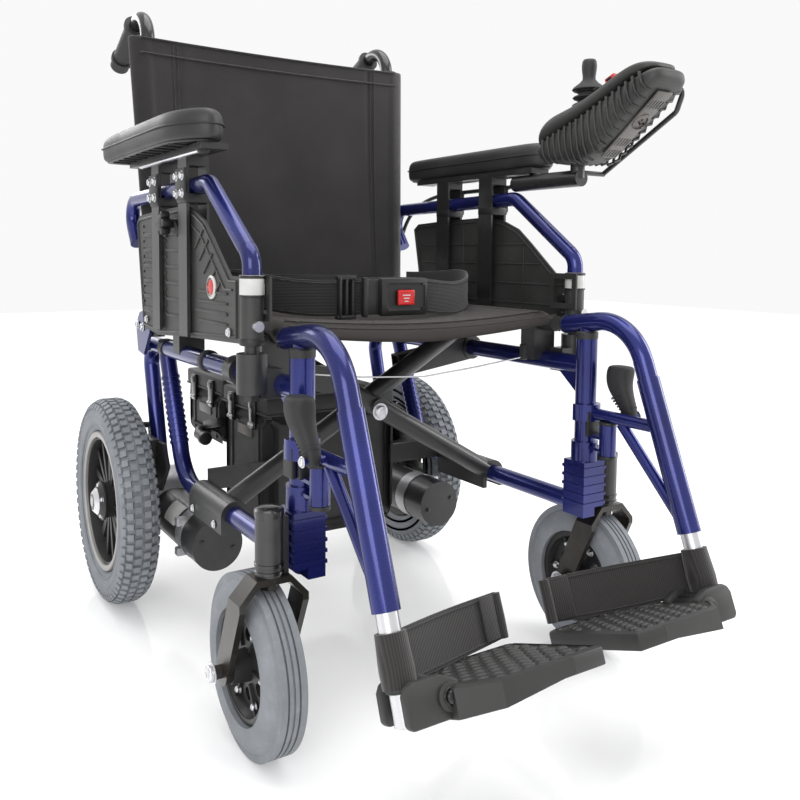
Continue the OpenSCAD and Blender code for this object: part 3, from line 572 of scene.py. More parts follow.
def grid(name, columns, rows, spot):
    """A sheet of quads; spot(u, v) gives its places, with u and v from 0 to 1."""
    piece = add("grid", x_subdivisions=columns, y_subdivisions=rows, size=1)
    for vertex in piece.data.vertices:
        vertex.co = spot(vertex.co.x + 0.5, vertex.co.y + 0.5)
    piece.name = name
    return piece


def back_spot(u, v):
    """The back wraps round both canes and hollows a little between them."""
    across = (u - 0.5) * 2
    z = BACK_LOW + (BACK_TOP - BACK_LOW) * v
    x = across * (233 + 18 * v)
    edge = max(0, abs(across) - 0.88) / 0.12
    pinch = 2.2 * math.exp(-((abs(x) - BACK_SEAM) / 3.0) ** 2)
    ripple = 1.6 * math.sin(9 * across + 3 * v) * math.sin(math.pi * v) * (1 - abs(across))
    turn = 15 * (1 - math.sqrt(max(0, 1 - edge ** 2)))
    y = cane_y(z) - 13.5 + pinch + (turn if edge else back_hollow(across, v) + ripple)
    dip = 4 * (1 - across ** 2) * (v > 0.999)
    return at(x, y, z - dip)


def sew_back():
    sling = grid("back_upholstery", 96, 64, back_spot)
    shape(sling, "SOLIDIFY", thickness=-4 * MM, offset=0)
    shape(sling, "SUBSURF", levels=1, render_levels=1)
    finish(sling, "back_upholstery", "right_frame", "upholstery", BACK_CLOTH, 60)
    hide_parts("back_sling")
    hems = []
    for z in (BACK_TOP - 3, BACK_TOP - 26):
        line = [(x, back_y(x, z) - 1.2, z - 2 * (1 - (x / 250) ** 2)) for x in range(-236, 237, 16)]
        hems.append(bar(line, 1.5, "hem"))
    for x in (-BACK_SEAM - 3.5, -BACK_SEAM + 3.5, BACK_SEAM - 3.5, BACK_SEAM + 3.5):
        line = [(x * (1 + 0.0001 * (z - BACK_LOW)), back_y(x, z) - 0.6, z) for z in range(478, 880, 25)]
        hems.append(bar(line, 0.9, "seam"))
    hem = finish(join(hems), "back_seams", "right_frame", "upholstery", BACK_CLOTH, 60)
    for side in (LEFT, RIGHT):
        sleeve = grid("sleeve", 20, 40, lambda u, v: at(
            side * (221 + 3 * v + 13.2 * math.cos(math.pi * (u - 0.5) * 1.15)),
            cane_y(SLEEVE_LOW + (BACK_TOP - SLEEVE_LOW) * v) + 13.2 * math.sin(math.pi * (u - 0.5) * 1.15),
            SLEEVE_LOW + (BACK_TOP - SLEEVE_LOW) * v))
        shape(sleeve, "SOLIDIFY", thickness=2 * MM, offset=0)
        finish(sleeve, f"back_sleeve_{SIDE_NAME[side]}", f"{SIDE_NAME[side]}_frame", "upholstery", BACK_CLOTH, 60)
    for part in (sling, hem):
        at(-220, 240, 680)
        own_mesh(part)


def seat_sag(x):
    """How far the seat hangs under its rails."""
    return 11 * max(0, 1 - (x / SEAT_HALF) ** 2) ** 1.2


def seat_spot(u, v):
    """The seat hangs between its rails, rolls over them and drops a lip at the front."""
    across = (u - 0.5) * 2
    x = across * SEAT_HALF
    y = -214 + 412 * v
    roll = max(0, abs(across) - 0.93) / 0.07
    z = 474.5 - seat_sag(x) - 16 * roll ** 2
    front = max(0, 0.085 - v) / 0.085
    z -= (20 * front ** 2.2) * (1 - 0.3 * abs(across))
    y += 5 * front ** 0.8
    ripple = 0.9 * math.sin(14 * v + 2 * across) * (1 - across ** 2)
    return at(x, y, z + ripple)


def sew_seat():
    seat = grid("seat_upholstery", 80, 90, seat_spot)
    shape(seat, "SOLIDIFY", thickness=-4 * MM, offset=0)
    shape(seat, "SUBSURF", levels=1, render_levels=1)
    finish(seat, "seat_upholstery", "seat", "upholstery", SEAT_CLOTH, 60)
    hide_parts("seat_sling")
    trims = [bar([(x, -212.7, 471.8 - seat_sag(x)) for x in range(-206, 207, 12)], 1.1, "piping"),
             bar([(x, -190, 476.6 - seat_sag(x)) for x in range(-200, 201, 12)], 0.8, "seam")]
    for x in (186, -186):
        trims.append(bar([(x, y, 476.2 - seat_sag(x)) for y in range(-205, 195, 20)], 0.8, "seam"))
    piping = finish(join(trims), "seat_seams", "seat", "upholstery", SEAT_CLOTH, 60)
    for part in (seat, piping):
        at(0, 0, 470)
        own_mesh(part)


# ---- lap belt ----

BELT_MID = 497


def strap_loop(name, line, width, thickness, low):
    """Webbing that stands on its edge along a line of (x, y) places, with its foot at height low(i)."""
    count = len(line) - 1
    def spot(u, v):
        i = min(count, round(u * count))
        x, y = line[i]
        return at(x, y, low(u) + width * v)
    piece = grid(name, count, 8, spot)
    return shape(piece, "SOLIDIFY", thickness=thickness * MM, offset=0)


def belt_curve(count=80):
    """The belt's line: round the hips behind, forward along both thighs and together at the buckle."""
    points = []
    for i in range(count + 1):
        t = (i / count - 0.5) * 2
        angle = t * math.radians(112)
        x = 190 * math.sin(angle) * (1 - 0.04 * math.cos(3 * angle))
        y = 24 - 154 * math.cos(angle)
        points.append((x, y + (30 if abs(t) > 0.8 else 0) * (abs(t) - 0.8) / 0.2))
    return points


def wear_belt():
    line = belt_curve()

    def foot(u):
        return 474 + 9 * math.sin(math.pi * 3 * u) ** 2 - 5 * (1 - abs(2 * u - 1)) + 3 * math.sin(8 * u)

    strap = strap_loop("lap_belt_webbing", line, 47, 2.2, foot)
    soften(strap, 0.6, 2, 50)
    folded = [(x * 0.965, y + 4.5) for x, y in line[6:34]]
    strap = join([strap, strap_loop("belt_fold", folded, 46, 1.8, lambda u: 478 + 2 * u)])
    finish(strap, "lap_belt_webbing", "seat", "webbing", BELT_WEB, 50)
    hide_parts("lap_belt")
    hems = []
    for lift in (3.5, 43.5):
        hem = [(x * 1.004, y - 1.5, foot(i / 80) + lift) for i, (x, y) in enumerate(line)]
        hems.append(bar(hem, 0.6, "stitch"))
    stitch = finish(join(hems), "belt_stitching", "seat", "webbing", BELT_WEB, 60)
    shell = block((0, -134, BELT_MID), (74, 14, 50), 4)
    sink(shell, lambda c, n: n.y < -0.9, 6, (0, 2.2, 0))
    tongue = block((-46, -131, BELT_MID), (30, 6, 46), 2)
    slot_bar = block((-58, -133, BELT_MID), (7, 9, 52), 2)
    ladder = [block((-92 + 10 * k, -126 + 3 * k * 0.4, BELT_MID), (4, 9, 54), 1.5) for k in range(3)]
    rails = [block((-82, -125, BELT_MID + s * 25.5), (28, 9, 5), 1.5) for s in (-1, 1)]
    buckle = join([shell, tongue, slot_bar] + ladder + rails)
    finish(buckle, "belt_buckle", "seat", "webbing", BLACK_PLASTIC)
    for part in (strap, stitch):
        at(0, 0, 490)
        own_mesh(part)
    button = block((0, -142.4, 496), (26, 3.4, 20), 1.5)
    sink(button, lambda c, n: n.y < -0.9, 2.2, (0, 0.7, 0))
    finish(button, "belt_button_cap", "belt_release", "red_plastic", RED_PLASTIC)
    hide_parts("belt_button")
    marks = join([block((0, -143.6, 499 - 4 * k), (12 - 3 * k, 0.8, 1.4), 0.2) for k in range(3)])
    finish(marks, "belt_button_marks", "belt_release", "red_plastic", WHITE_PLASTIC)


# ---- armrests ----

PAD_IN, PAD_OUT = 238, 305
KNOB_Y = 39
PANEL_FACE = 254.2
BADGE_Y, BADGE_Z = -104, 512


def pad_outline(inset):
    """The pad's plan: square at the rear with soft corners, and swept in along its outer front."""
    a, b = PAD_IN, PAD_OUT
    plan = [(a + 14, 222), (b - 14, 222), (b - 4, 218), (b, 208), (b, 80), (b, -58), (b - 4, -80), (b - 12, -102),
            (b - 24, -120), (b - 36, -130), (a + 24, -132), (a + 12, -126), (a + 3, -112), (a, -94), (a, 60),
            (a, 208), (a + 4, 218)]
    mid_x, mid_y = (a + b) / 2, 45
    wide, long = (b - a) / 2, 177
    return [(mid_x + (x - mid_x) * (1 - inset / wide), mid_y + (y - mid_y) * (1 - inset / long)) for x, y in plan]


def pad_arms():
    cushion_rings = ((685, 7), (685.5, 3), (690, 0.4), (700, 0), (710, 0.2), (717, 2.6), (720.6, 7), (722.4, 15))
    tray_rings = ((688, 4), (683.6, 4.6), (682.6, 7), (682.6, 10), (686, 12))
    for side, name in SIDE_NAME.items():
        body = f"pad_{name}"
        cushion = loft([[at(x * side, y, z) for x, y in pad_outline(inset)] for z, inset in cushion_rings], 2)
        finish(cushion, f"arm_cushion_{name}", body, "pad_skin", PAD_SKIN, 60)
        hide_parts(f"arm_pad_{name}")
        lip = bar([(x * side, y, 703) for x, y in pad_outline(-0.3) + pad_outline(-0.3)[:1]], 1.0, "lip", 8)
        tray = loft([[at(x * side, y, z) for x, y in pad_outline(inset)] for z, inset in tray_rings], 1)
        ribs = [block((side * 271, y, 682.6), (50, 2.5, 3), 0.8) for y in range(-70, 210, 28)]
        tube = drum((side * 262, 30, 679), Y, 6.5, 250, 24, 0.6)
        finish(join([tray, lip] + ribs), f"arm_tray_{name}", body, "pad_skin", BLACK_PLASTIC)
        plug = drum((side * 262, -98, 679), Y, 9.5, 8, 28, 2.5)
        finish(plug, f"arm_tube_plug_{name}", body, "fitting_plastic", BLACK_PLASTIC)
        finish(tube, f"arm_tube_{name}", body, "bright_tube", STEEL)


def trim_posts():
    """Clamps with bright caps where the uprights pass the armrest tube, and the star knob between them."""
    clamps, caps = [], []
    for y in (-18, 96):
        clamps.append(block((247, y, 622), (33, 36, 13), 3))
        clamps.append(block((262.5, y, 640), (5, 36, 40), 2))
        caps += [bolt((265, y + dy, z), X, 4.5, 4) for dy in (-11, 11) for z in (650, 628)]
    finish_both(join(clamps), "post_clamps", "armrest_{side}", "fitting_plastic", BLACK_PLASTIC)
    finish_both(join(caps), "post_clamp_bolts", "armrest_{side}", "bright_tube", STEEL)
    lobes = [drum((268, KNOB_Y, 592), X, 11, 13, 32, 2)]
    for k in range(6):
        angle = k * math.pi / 3
        lobes.append(drum((268, KNOB_Y + 12 * math.cos(angle), 592 + 12 * math.sin(angle)), X, 5.2, 12, 18, 2))
    lobes.append(drum((259, KNOB_Y, 592), X, 6, 10, 20, 0.5))
    finish_both(join(lobes), "panel_knob", "armrest_{side}", "fitting_plastic", BLACK_PLASTIC)
    arc = [(256.3, KNOB_Y + 30 * math.cos(math.radians(a)), 565 + 30 * math.sin(math.radians(a)))
           for a in range(20, 161, 10)]
    finish_both(bar(arc, 3.2, "slot", 12), "knob_slot", "armrest_{side}", "panel_plastic", BLACK_SATIN)


def rib_panel():
    """Ribs, dot rows, the raised border and the fixings on the outer and inner faces of the side panels."""
    border = [(176, 447), (109, 442), (-12, 450), (-180, 458), (-180, 521), (-157, 521), (-129, 544), (-102, 566),
              (-74, 587), (-44, 599), (-13, 607), (28, 607), (136, 604), (194, 601), (204, 595), (176, 447)]
    ridges = [bar([(PANEL_FACE, y, z) for y, z in border], 2.0, "border"),
              bar([(PANEL_FACE, y + 13, z - 10) for y, z in border[4:12]], 1.6, "inner_border")]
    rib_x = PANEL_FACE + 0.6
    ridges += [block((rib_x, 147, z), (2.4, 52, 5), 1.0) for z in range(468, 600, 22)]
    ridges += [block((rib_x, 38, z), (2.4, 64, 4), 1.0) for z in range(468, 590, 22)]
    ridges += [block((rib_x, -62 - 14 * k, 572 - 16 * k), (2.4, 44 - 3 * k, 3.5), 0.9, (-38, 0, 0)) for k in range(5)]
    ridges += [block((rib_x, -105, 470 + 12 * k), (2.4, 96, 3), 0.9) for k in range(4)]
    finish_both(join(ridges), "panel_ribs", "armrest_{side}", "panel_plastic", PANEL_PLASTIC)
    dot = drum((rib_x, 176, 470), X, 2.1, 1.8, 12, 0.5)
    steps = [Matrix.Translation((0, -(i % 2) * 104 * MM, (i // 2) * 11 * MM)) for i in range(1, 24)]
    finish_both(repeat(dot, steps), "panel_dots", "armrest_{side}", "panel_plastic", PANEL_PLASTIC)
    inner = [bar([(250.6, y, z) for y, z in border], 1.8, "inner_edge")]
    for z, front in ((480, -176), (510, -176), (540, -126), (570, -90)):
        inner.append(block((250.4, (front + 180) / 2, z), (2, 180 - front, 2.4), 0.8))
    for y, top in ((-90, 566), (60, 600), (120, 600)):
        inner.append(block((250.4, y, (top + 452) / 2), (2, 2.4, top - 452), 0.8))
    finish_both(join(inner), "panel_inner_ribs", "armrest_{side}", "panel_plastic", PANEL_PLASTIC)
    badge = drum((PANEL_FACE + 1, BADGE_Y, BADGE_Z), X, 14.5, 2.4, 48, 0.8)
    sink(badge, lambda c, n: n.x > 0.9, 3, (-0.8, 0, 0))
    finish_both(badge, "panel_badge", "armrest_{side}", "panel_plastic", WHITE_PLASTIC)
    emblem = [drum((PANEL_FACE + 1.9, BADGE_Y, BADGE_Z), X, 9, 1.2, 40, 0.3)]
    emblem.append(block((PANEL_FACE + 2.4, BADGE_Y, BADGE_Z), (1, 22, 3), 0.3))
    finish_both(join(emblem), "panel_emblem", "armrest_{side}", "red_plastic", RED_PLASTIC)
    collar = drum((SOCKET_X, SOCKET_Y, 518), Z, 13.8, 22, 44, 0.3)
    finish_both(collar, "socket_label", "armrest_{side}", "bright_tube", WHITE_PLASTIC)
    rims = [drum((SOCKET_X, SOCKET_Y, z), Z, 14.4, high, 44, edge)
            for z, high, edge in ((506, 2.5, 0.8), (527, 4, 1.2), (455, 7, 1.2))]
    flange = [block((246, -186, z), (7, 30, 10), 2) for z in (466, 492)]
    finish_both(join(rims + flange), "socket_rings", "armrest_{side}", "fitting_plastic", BLACK_PLASTIC)
    screws = [bolt(place, X, 4, 3) for place in ((250, -176, 466), (250, -176, 492), (256, -160, 462), (256, 160, 455))]
    finish_both(join(screws), "panel_screws", "armrest_{side}", "bright_tube", STEEL)


# ---- lofted and turned forms ----

def loft(rings, rounds=2, looped=False):
    """A closed form through rings of places, rounded by subdivision; looped joins its ends instead of capping."""
    around = len(rings[0])
    caps = [[sum(ring, Vector()) / around] * around for ring in (rings[0], rings[-1])]
    rows = rings + rings[:1] if looped else caps[:1] + rings + caps[1:]
    last = len(rows) - 1
    piece = grid("loft", around, last, lambda u, v: rows[round(v * last)][round(u * around) % around])
    only(piece)
    bpy.ops.object.mode_set(mode="EDIT")
    bpy.ops.mesh.select_all(action="SELECT")
    bpy.ops.mesh.remove_doubles(threshold=1e-6)
    bpy.ops.mesh.normals_make_consistent(inside=False)
    object_mode()
    return shape(piece, "SUBSURF", levels=rounds, render_levels=rounds) if rounds else piece


def lathe(centre, axis, profile, sides=48, looped=False):
    """A turned form: profile is a list of (radius, height) along the axis from its centre."""
    turn = turned(axis).to_matrix()
    rings = []
    for radius, height in profile:
        rings.append([at(*centre) + turn @ Vector((radius * math.cos(a) * MM, radius * math.sin(a) * MM, height * MM))
                      for a in (2 * math.pi * k / sides for k in range(sides))])
    return loft(rings, 0, looped)


def hoop(centre, axis, profile, sides=48):
    """A turned ring with an open middle."""
    return lathe(centre, axis, profile, sides, True)


def oval(centre, half_x, half_y, power=2.0, count=16, lean=0.0):
    """A ring of places round a centre, level unless it leans in Y."""
    ring = []
    for k in range(count):
        c, s = math.cos(2 * math.pi * k / count), math.sin(2 * math.pi * k / count)
        dx = math.copysign(abs(c) ** (2 / power), c) * half_x
        dy = math.copysign(abs(s) ** (2 / power), s) * half_y
        ring.append(at(centre[0] + dx, centre[1] + dy, centre[2] + dy * lean))
    return ring


# ---- controller ----

POD_X = 250
POD_HALF = 37
UNDER_TURN = -38
UNDER_FACE = (0, -0.61, -0.79)


def between(a, b, t):
    return tuple(p + (q - p) * t for p, q in zip(a, b))


def pod_seam(t):
    return between((-156, 716), (-346, 788), t)


def pod_under(t):
    if t < 0.42:
        return between((-160, 685), (-244, 677), t / 0.42)
    return between((-244, 677), (-354, 767), (t - 0.42) / 0.58)


def pod_ring(top, under, half):
    """One section of the case: flat sides with a rounded belly and a softer top."""
    ty, tz = top
    uy, uz = under
    spots = [(-1, 0.5), (-0.97, 0.86), (-0.55, 1), (0.55, 1), (0.97, 0.86), (1, 0.5), (0.97, 0.16), (0.62, 0),
             (-0.62, 0), (-0.97, 0.16)]
    return [at(POD_X + half * w, uy + (ty - uy) * h, uz + (tz - uz) * h) for w, h in spots]


def mould_controller():
    belly = loft([pod_ring((-146, 706), (-156, 690), 26), pod_ring((-148, 712), (-162, 685), 36),
                  pod_ring((-166, 722), (-186, 680), POD_HALF), pod_ring((-200, 735), (-232, 677), POD_HALF),
                  pod_ring((-250, 753), (-268, 696), POD_HALF), pod_ring((-300, 772), (-312, 731), POD_HALF),
                  pod_ring((-336, 785), (-342, 756), 36), pod_ring((-352, 788), (-356, 767), 32),
                  pod_ring((-357, 786), (-360, 774), 22)])
    ribs = []
    for k in range(17):
        t = 0.05 + 0.9 * k / 16
        top, low = pod_seam(t), pod_under(t)
        for s in (-1, 1):
            line = [(POD_X + s * 35.6, *between(top, low, 0.10)), (POD_X + s * 37.3, *between(top, low, 0.35)),
                    (POD_X + s * 36.6, *between(top, low, 0.7)), (POD_X + s * 31, *between(top, low, 0.93)),
                    (POD_X + s * 20, *between(top, low, 0.985))]
            ribs.append(bar(line, 2.0, "rib", 8))
    finish(join([belly] + ribs), "controller_belly", "controller", "panel_plastic", DARK_PLASTIC, 50)
    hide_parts("controller_case")
    lid = loft([pod_ring((-143, 720), (-146, 708), 24), pod_ring((-152, 736), (-154, 710), 33),
                pod_ring((-172, 751), (-172, 718), 35), pod_ring((-205, 756), (-205, 730), 35.5),
                pod_ring((-250, 768), (-250, 748), 35.5), pod_ring((-306, 795), (-304, 772), 35),
                pod_ring((-330, 799), (-334, 784), 32), pod_ring((-346, 796), (-350, 788), 22)])
    finish(lid, "controller_lid", "controller", "panel_plastic", PANEL_PLASTIC, 50)
    strip = block((POD_X, -303, 722.5), (27, 118, 3), 1, (UNDER_TURN, 0, 0))
    collar = drum((POD_X, -311, 727.5), UNDER_FACE, 13, 5, 36, 1.5)
    sink(collar, lambda c, n: n.z < -0.7, 2.5, (0, 1.5, 1.9))
    finish(join([strip, collar]), "controller_strip", "controller", "panel_plastic", STRIP_PLASTIC)
    slots = []
    for along in (-264, -281, -334):
        for k in range(5):
            slots.append(block((POD_X - 10 + 5 * k, along, 722.5 + (along + 303) * -0.78 - 1.6), (2, 13, 1.6), 0.3,
                               (UNDER_TURN, 0, 0)))
    pins = [drum((POD_X + 4 * math.cos(a), -312.5, 725.5 + 4 * math.sin(a)), UNDER_FACE, 1.3, 5, 10, 0)
            for a in (1.57, 3.67, 5.76)]
    finish(join(slots + pins), "controller_slots", "controller", "fitting_plastic", BLACK_SATIN)
    keys = [block((POD_X + x, y, 760 - (y + 215) * 0.42 - 1), (11, 9, 3), 1.2, (-22, 0, 0))
            for x in (-20, 0, 20) for y in (-254, -276)]
    finish(join(keys), "controller_keys", "controller", "fitting_plastic", GRIP_RUBBER)


def turn_stick():
    x, y, z = POD_X, -218, 752
    base = [(20, 1), (22.5, 5), (22.5, 9), (20, 11), (15, 13), (15, 15), (20, 17), (22, 19), (20, 21), (14.5, 23),
            (14.5, 25), (18, 27), (18, 28)]
    boot = lathe((x, y, z), Z, base)
    finish(boot, "joystick_bellows", "stick_gimbal", "boot_rubber", GRIP_RUBBER, 60)
    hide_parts("joystick_boot")
    knob = lathe((x, y, z), Z, [(12, 26.5), (21, 28), (23, 30), (21, 33), (13, 39), (9, 43.5), (8.8, 48), (10, 57),
                                (10.3, 63), (9.6, 68.4), (7.8, 71), (3, 71.8)])
    finish(knob, "joystick_knob", "stick", "fitting_plastic", GRIP_RUBBER, 60)
    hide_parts("joystick")


# ---- drive wheels ----

TREAD_PITCHES = 64


def around_wheel(piece, centre, count, phase=0.0):
    """The piece and its copies, spread evenly round an axle that runs along X."""
    hub = Matrix.Translation(at(*centre))
    step = 2 * math.pi / count
    piece.data.transform(hub @ Matrix.Rotation(phase, 4, "X") @ hub.inverted())
    return repeat(piece, [hub @ Matrix.Rotation(k * step, 4, "X") @ hub.inverted() for k in range(1, count)])


def shoe_drive_wheels():
    x, y, z = WHEEL
    carcass = hoop(WHEEL, X, [(109, -17), (112, -21), (122, -26), (135, -28.2), (146, -25.5), (153, -19),
                               (156, -9), (156.6, 0), (156, 9), (153, 19), (146, 25.5), (135, 28.2), (122, 26),
                               (112, 21), (109, 17)], 96)
    rings = []
    for s in (-1, 1):
        rings += [hoop((x + s * 26, y, z), X, [(118, -1), (120, s), (122, -1)], 96),
                  hoop((x + s * 28, y, z), X, [(133, -1), (135, s), (137, -1)], 96)]
    blocks = []
    half = math.pi / TREAD_PITCHES
    for across, wide, high, tilt, phase in ((-6.5, 9.5, 158.2, 0, 0), (6.5, 9.5, 158.2, 0, half),
                                            (-17.5, 9, 155.6, -28, half), (17.5, 9, 155.6, 28, 0),
                                            (-24.6, 8, 148.8, -62, 0), (24.6, 8, 148.8, 62, half)):
        knob = block((x + across, y, z + high), (wide, 9.2, 4.2), 0, (0, tilt, 0))
        blocks.append(around_wheel(knob, WHEEL, TREAD_PITCHES, phase))
    tyres = finish_both(join([carcass] + rings + blocks), "drive_tread", "drive_wheel_{side}", "tyre", GREY_TYRE, 40)
    stand_in(tyres, "drive_tyre")
    bead = hoop((x + 19, y, z), X, [(100, 0), (100, 3.5), (103, 5), (108, 4.6), (109.4, 2), (109.4, 0)], 96)
    finish_both(bead, "rim_bead", "drive_wheel_{side}", "rim_plastic", BEAD_GREY, 50)
    dish = lathe((x, y, z), X, [(27, 10), (27, 17), (31, 19), (31, 22), (24, 27), (20, 29)], 48)
    webs = around_wheel(block((x + 6, y, z + 58), (4, 13, 62), 1), WHEEL, 5)
    rim = hoop((x, y, z), X, [(101, -21), (101, 19), (96, 19), (94, 6), (94, -6), (97, -21)], 96)
    finish_both(join([dish, webs]), "rim_spoke_webs", "drive_wheel_{side}", "rim_plastic", BLACK_PLASTIC, 40)
    finish_both(rim, "rim_well", "drive_wheel_{side}", "rim_plastic", BLACK_PLASTIC, 40)
    cap = lathe((x, y, z), X, [(21, 27), (21, 29), (15, 34.5), (13, 35), (13, 31)], 40)
    finish_both(cap, "hub_cap", "drive_wheel_{side}", "fitting_plastic", STEEL, 30)
    screws = around_wheel(bolt((x + 24, y, z + 25), X, 3.2, 4), WHEEL, 5)
    finish_both(screws, "hub_screws", "drive_wheel_{side}", "bright_tube", STEEL)


# ---- casters ----

def fit_casters():
    x, y, z = CASTER
    beads = [hoop((x + s * 16.5, y, z), X, [(63, -1), (65, 1.2), (68, 1.6), (70, 0.4), (70, -1)], 72)
             for s in (-1, 1)]
    walls = [hoop((x + s * 22.6, y, z), X, [(74, -1), (76, 0.8), (78, -1)], 72) for s in (-1, 1)]
    finish_both(join(beads + walls), "caster_mouldings", "caster_wheel_{side}", "tyre", GREY_TYRE, 50)
    ribs = around_wheel(block((x, y, z + 38), (26, 3.5, 36), 0.8), CASTER, 6, math.pi / 6)
    lips = [hoop((x + s * 15.5, y, z), X, [(55, -1.5), (55, 1.5), (58, 2.2), (62, 1), (62, -1.5)], 72)
            for s in (-1, 1)]
    finish_both(join([ribs] + lips), "caster_ribs", "caster_wheel_{side}", "rim_plastic", BLACK_PLASTIC)
    bolts = [around_wheel(bolt((x + s * 9.5, y, z + 44), s * X, 3.8, 5), CASTER, 6, math.pi / 6) for s in (-1, 1)]
    finish_both(join(bolts), "caster_bolts", "caster_wheel_{side}", "bright_tube", STEEL)
    nuts = [bolt((x + s * 50, y, z), (s, 0, 0), 9, 6) for s in (-1, 1)]
    nuts.append(bolt((STEM_X, STEM_Y, 208), Z, 10.5, 6))
    finish_both(join(nuts), "caster_nuts", "caster_swivel_{side}", "bright_tube", STEEL)
    cap = lathe((STEM_X, STEM_Y, 278.6), Z, [(15.6, -3), (16, 0), (16, 4), (14, 6), (6, 7)], 44)
    rings = [hoop((STEM_X, STEM_Y, h), Z, [(14, 0), (15.9, 1), (15.9, 4), (14, 5)], 44) for h in (214, 222)]
    finish_both(join([cap] + rings), "caster_cap", "{side}_frame", "fitting_plastic", BLACK_GLOSS, 40)


# ---- legrests and footplates ----

LEG = Matrix.Translation(at(TUBE_X, -434, 226)) @ Matrix.Rotation(math.radians(-21.2), 4, "X")
LEG = LEG @ Matrix.Translation(-at(0, 0, 0))
HINGE_X, HINGE_Z = -33, -80
PLATE_TOP, PLATE_IN = HINGE_Z + 8, -189
CHEEK_LOW, CHEEK_TOP = HINGE_Z - 19, HINGE_Z + 20


def in_leg(piece):
    """Moves a piece made about the chair's origin into the legrest's own frame."""
    settle(piece)
    piece.data.transform(LEG)
    return piece


def shape_footplates():
    outline = [(PLATE_IN, -66), (-65, -66), (-34, -36), (-34, 58), (-50, 74), (PLATE_IN + 8, 74), (PLATE_IN, 66)]
    board = plate(outline, lambda u, v: at(u, v, PLATE_TOP - 17), (0, 0, 17), 2)
    sink(board, lambda c, n: n.z > 0.9, 5, (0, 0, -1.4))
    skirt = grid("skirt", 24, 6, skirt_spot)
    shape(skirt, "SOLIDIFY", thickness=3.4 * MM, offset=0)
    cheek = [(-46, CHEEK_LOW), (8, CHEEK_LOW), (12, CHEEK_LOW + 4), (12, CHEEK_TOP - 10), (8, CHEEK_TOP - 3),
             (2, CHEEK_TOP), (-28, CHEEK_TOP), (-46, CHEEK_TOP - 8)]
    cheeks = [plate(cheek, lambda u, v, y=y: at(u, y - 5.5, v), (0, 11, 0), 2.4) for y in (-21.4, 21.4)]
    bosses = [drum((HINGE_X, y, HINGE_Z), Y, 12.5, 4, 36, 1) for y in (-28, 28)]
    plates = finish_both(in_leg(join([board, skirt] + cheeks + bosses)), "tread_plate", "plate_{side}",
                         "tread_plastic", DARK_PLASTIC, 40)
    stand_in(plates, "footplate")
    stud = add("uv_sphere", segments=12, ring_count=8, radius=1, location=at(0, 0, 0))
    stud.scale = (7.2 * MM, 4.4 * MM, 3.6 * MM)
    settle(stud)
    spots = []
    for row in range(9):
        for column in range(8):
            x = PLATE_IN + 15 + 17 * column + (8.5 if row % 2 else 0)
            y = -53 + 14.5 * row
            if x > -48 or (x > -62 and y < -38):
                continue
            spots.append(Matrix.Translation((x * MM, y * MM, (PLATE_TOP - 1.2) * MM)) @ Matrix.Rotation(0.35, 4, "Z"))
    origin = Matrix.Translation(at(0, 0, 0))
    studs = [copy(stud, origin @ m @ origin.inverted()) for m in spots]
    bpy.data.objects.remove(stud)
    finish_both(in_leg(join(studs)), "tread_studs", "plate_{side}", "tread_plastic", DARK_PLASTIC, 60)
    screws = join([bolt((HINGE_X, s * 30.5, HINGE_Z), (0, s, 0), 6, 4) for s in (-1, 1)])
    finish_both(in_leg(screws), "plate_bolts", "plate_{side}", "fitting_plastic", BLACK_GLOSS)


def skirt_spot(u, v):
    """The deep skirt that runs from the hinge round the front corner and fades along the front edge."""
    path = [(-34, -18), (-34, -36), (-65, -64.5), (-150, -64.5)]
    depth = [27, 26, 22, 14]
    t = min(2.999, u * 3)
    i = int(t)
    x, y = between(path[i], path[i + 1], t - i)
    deep = depth[i] + (depth[i + 1] - depth[i]) * (t - i)
    return at(x, y, PLATE_TOP - 1 - deep * v)


def hang_footrests():
    tube = lathe((0, 0, 0), Z, [(9, CHEEK_LOW), (11, CHEEK_LOW + 1), (11, 110), (9, 110)], 40)
    finish_both(in_leg(tube), "footrest_stem", "footrest_{side}", "bright_tube", STEEL, 40)
    knuckle = block((-20, 0, HINGE_Z - 1), (26, 29, 32), 3)
    barrel = drum((HINGE_X, 0, HINGE_Z), Y, 12.5, 29, 36, 1)
    clamp = hoop((0, 0, HINGE_Z), Z, [(11, 10), (13.5, 11), (13.5, 16), (11, 17)], 40)
    knuckles = finish_both(in_leg(join([knuckle, barrel, clamp])), "footrest_knuckle", "footrest_{side}",
                           "fitting_plastic", BLACK_PLASTIC)
    stand_in(knuckles, "footrest_tube")


def strap_line(t):
    """The heel strap's line in the legrest's frame, from the tube to the plate's inner rear corner."""
    x = -6 + (PLATE_IN + 12 + 6) * t
    y = 14 + 56 * t + 9 * math.sin(math.pi * t)
    return x, y


def strap_lift(t, v):
    """How the strap's edges wave and climb on their way to the plate; v runs from its low edge to its high one."""
    return 3 * math.sin(math.pi * t) * (v - 1) + 5 * t - 4


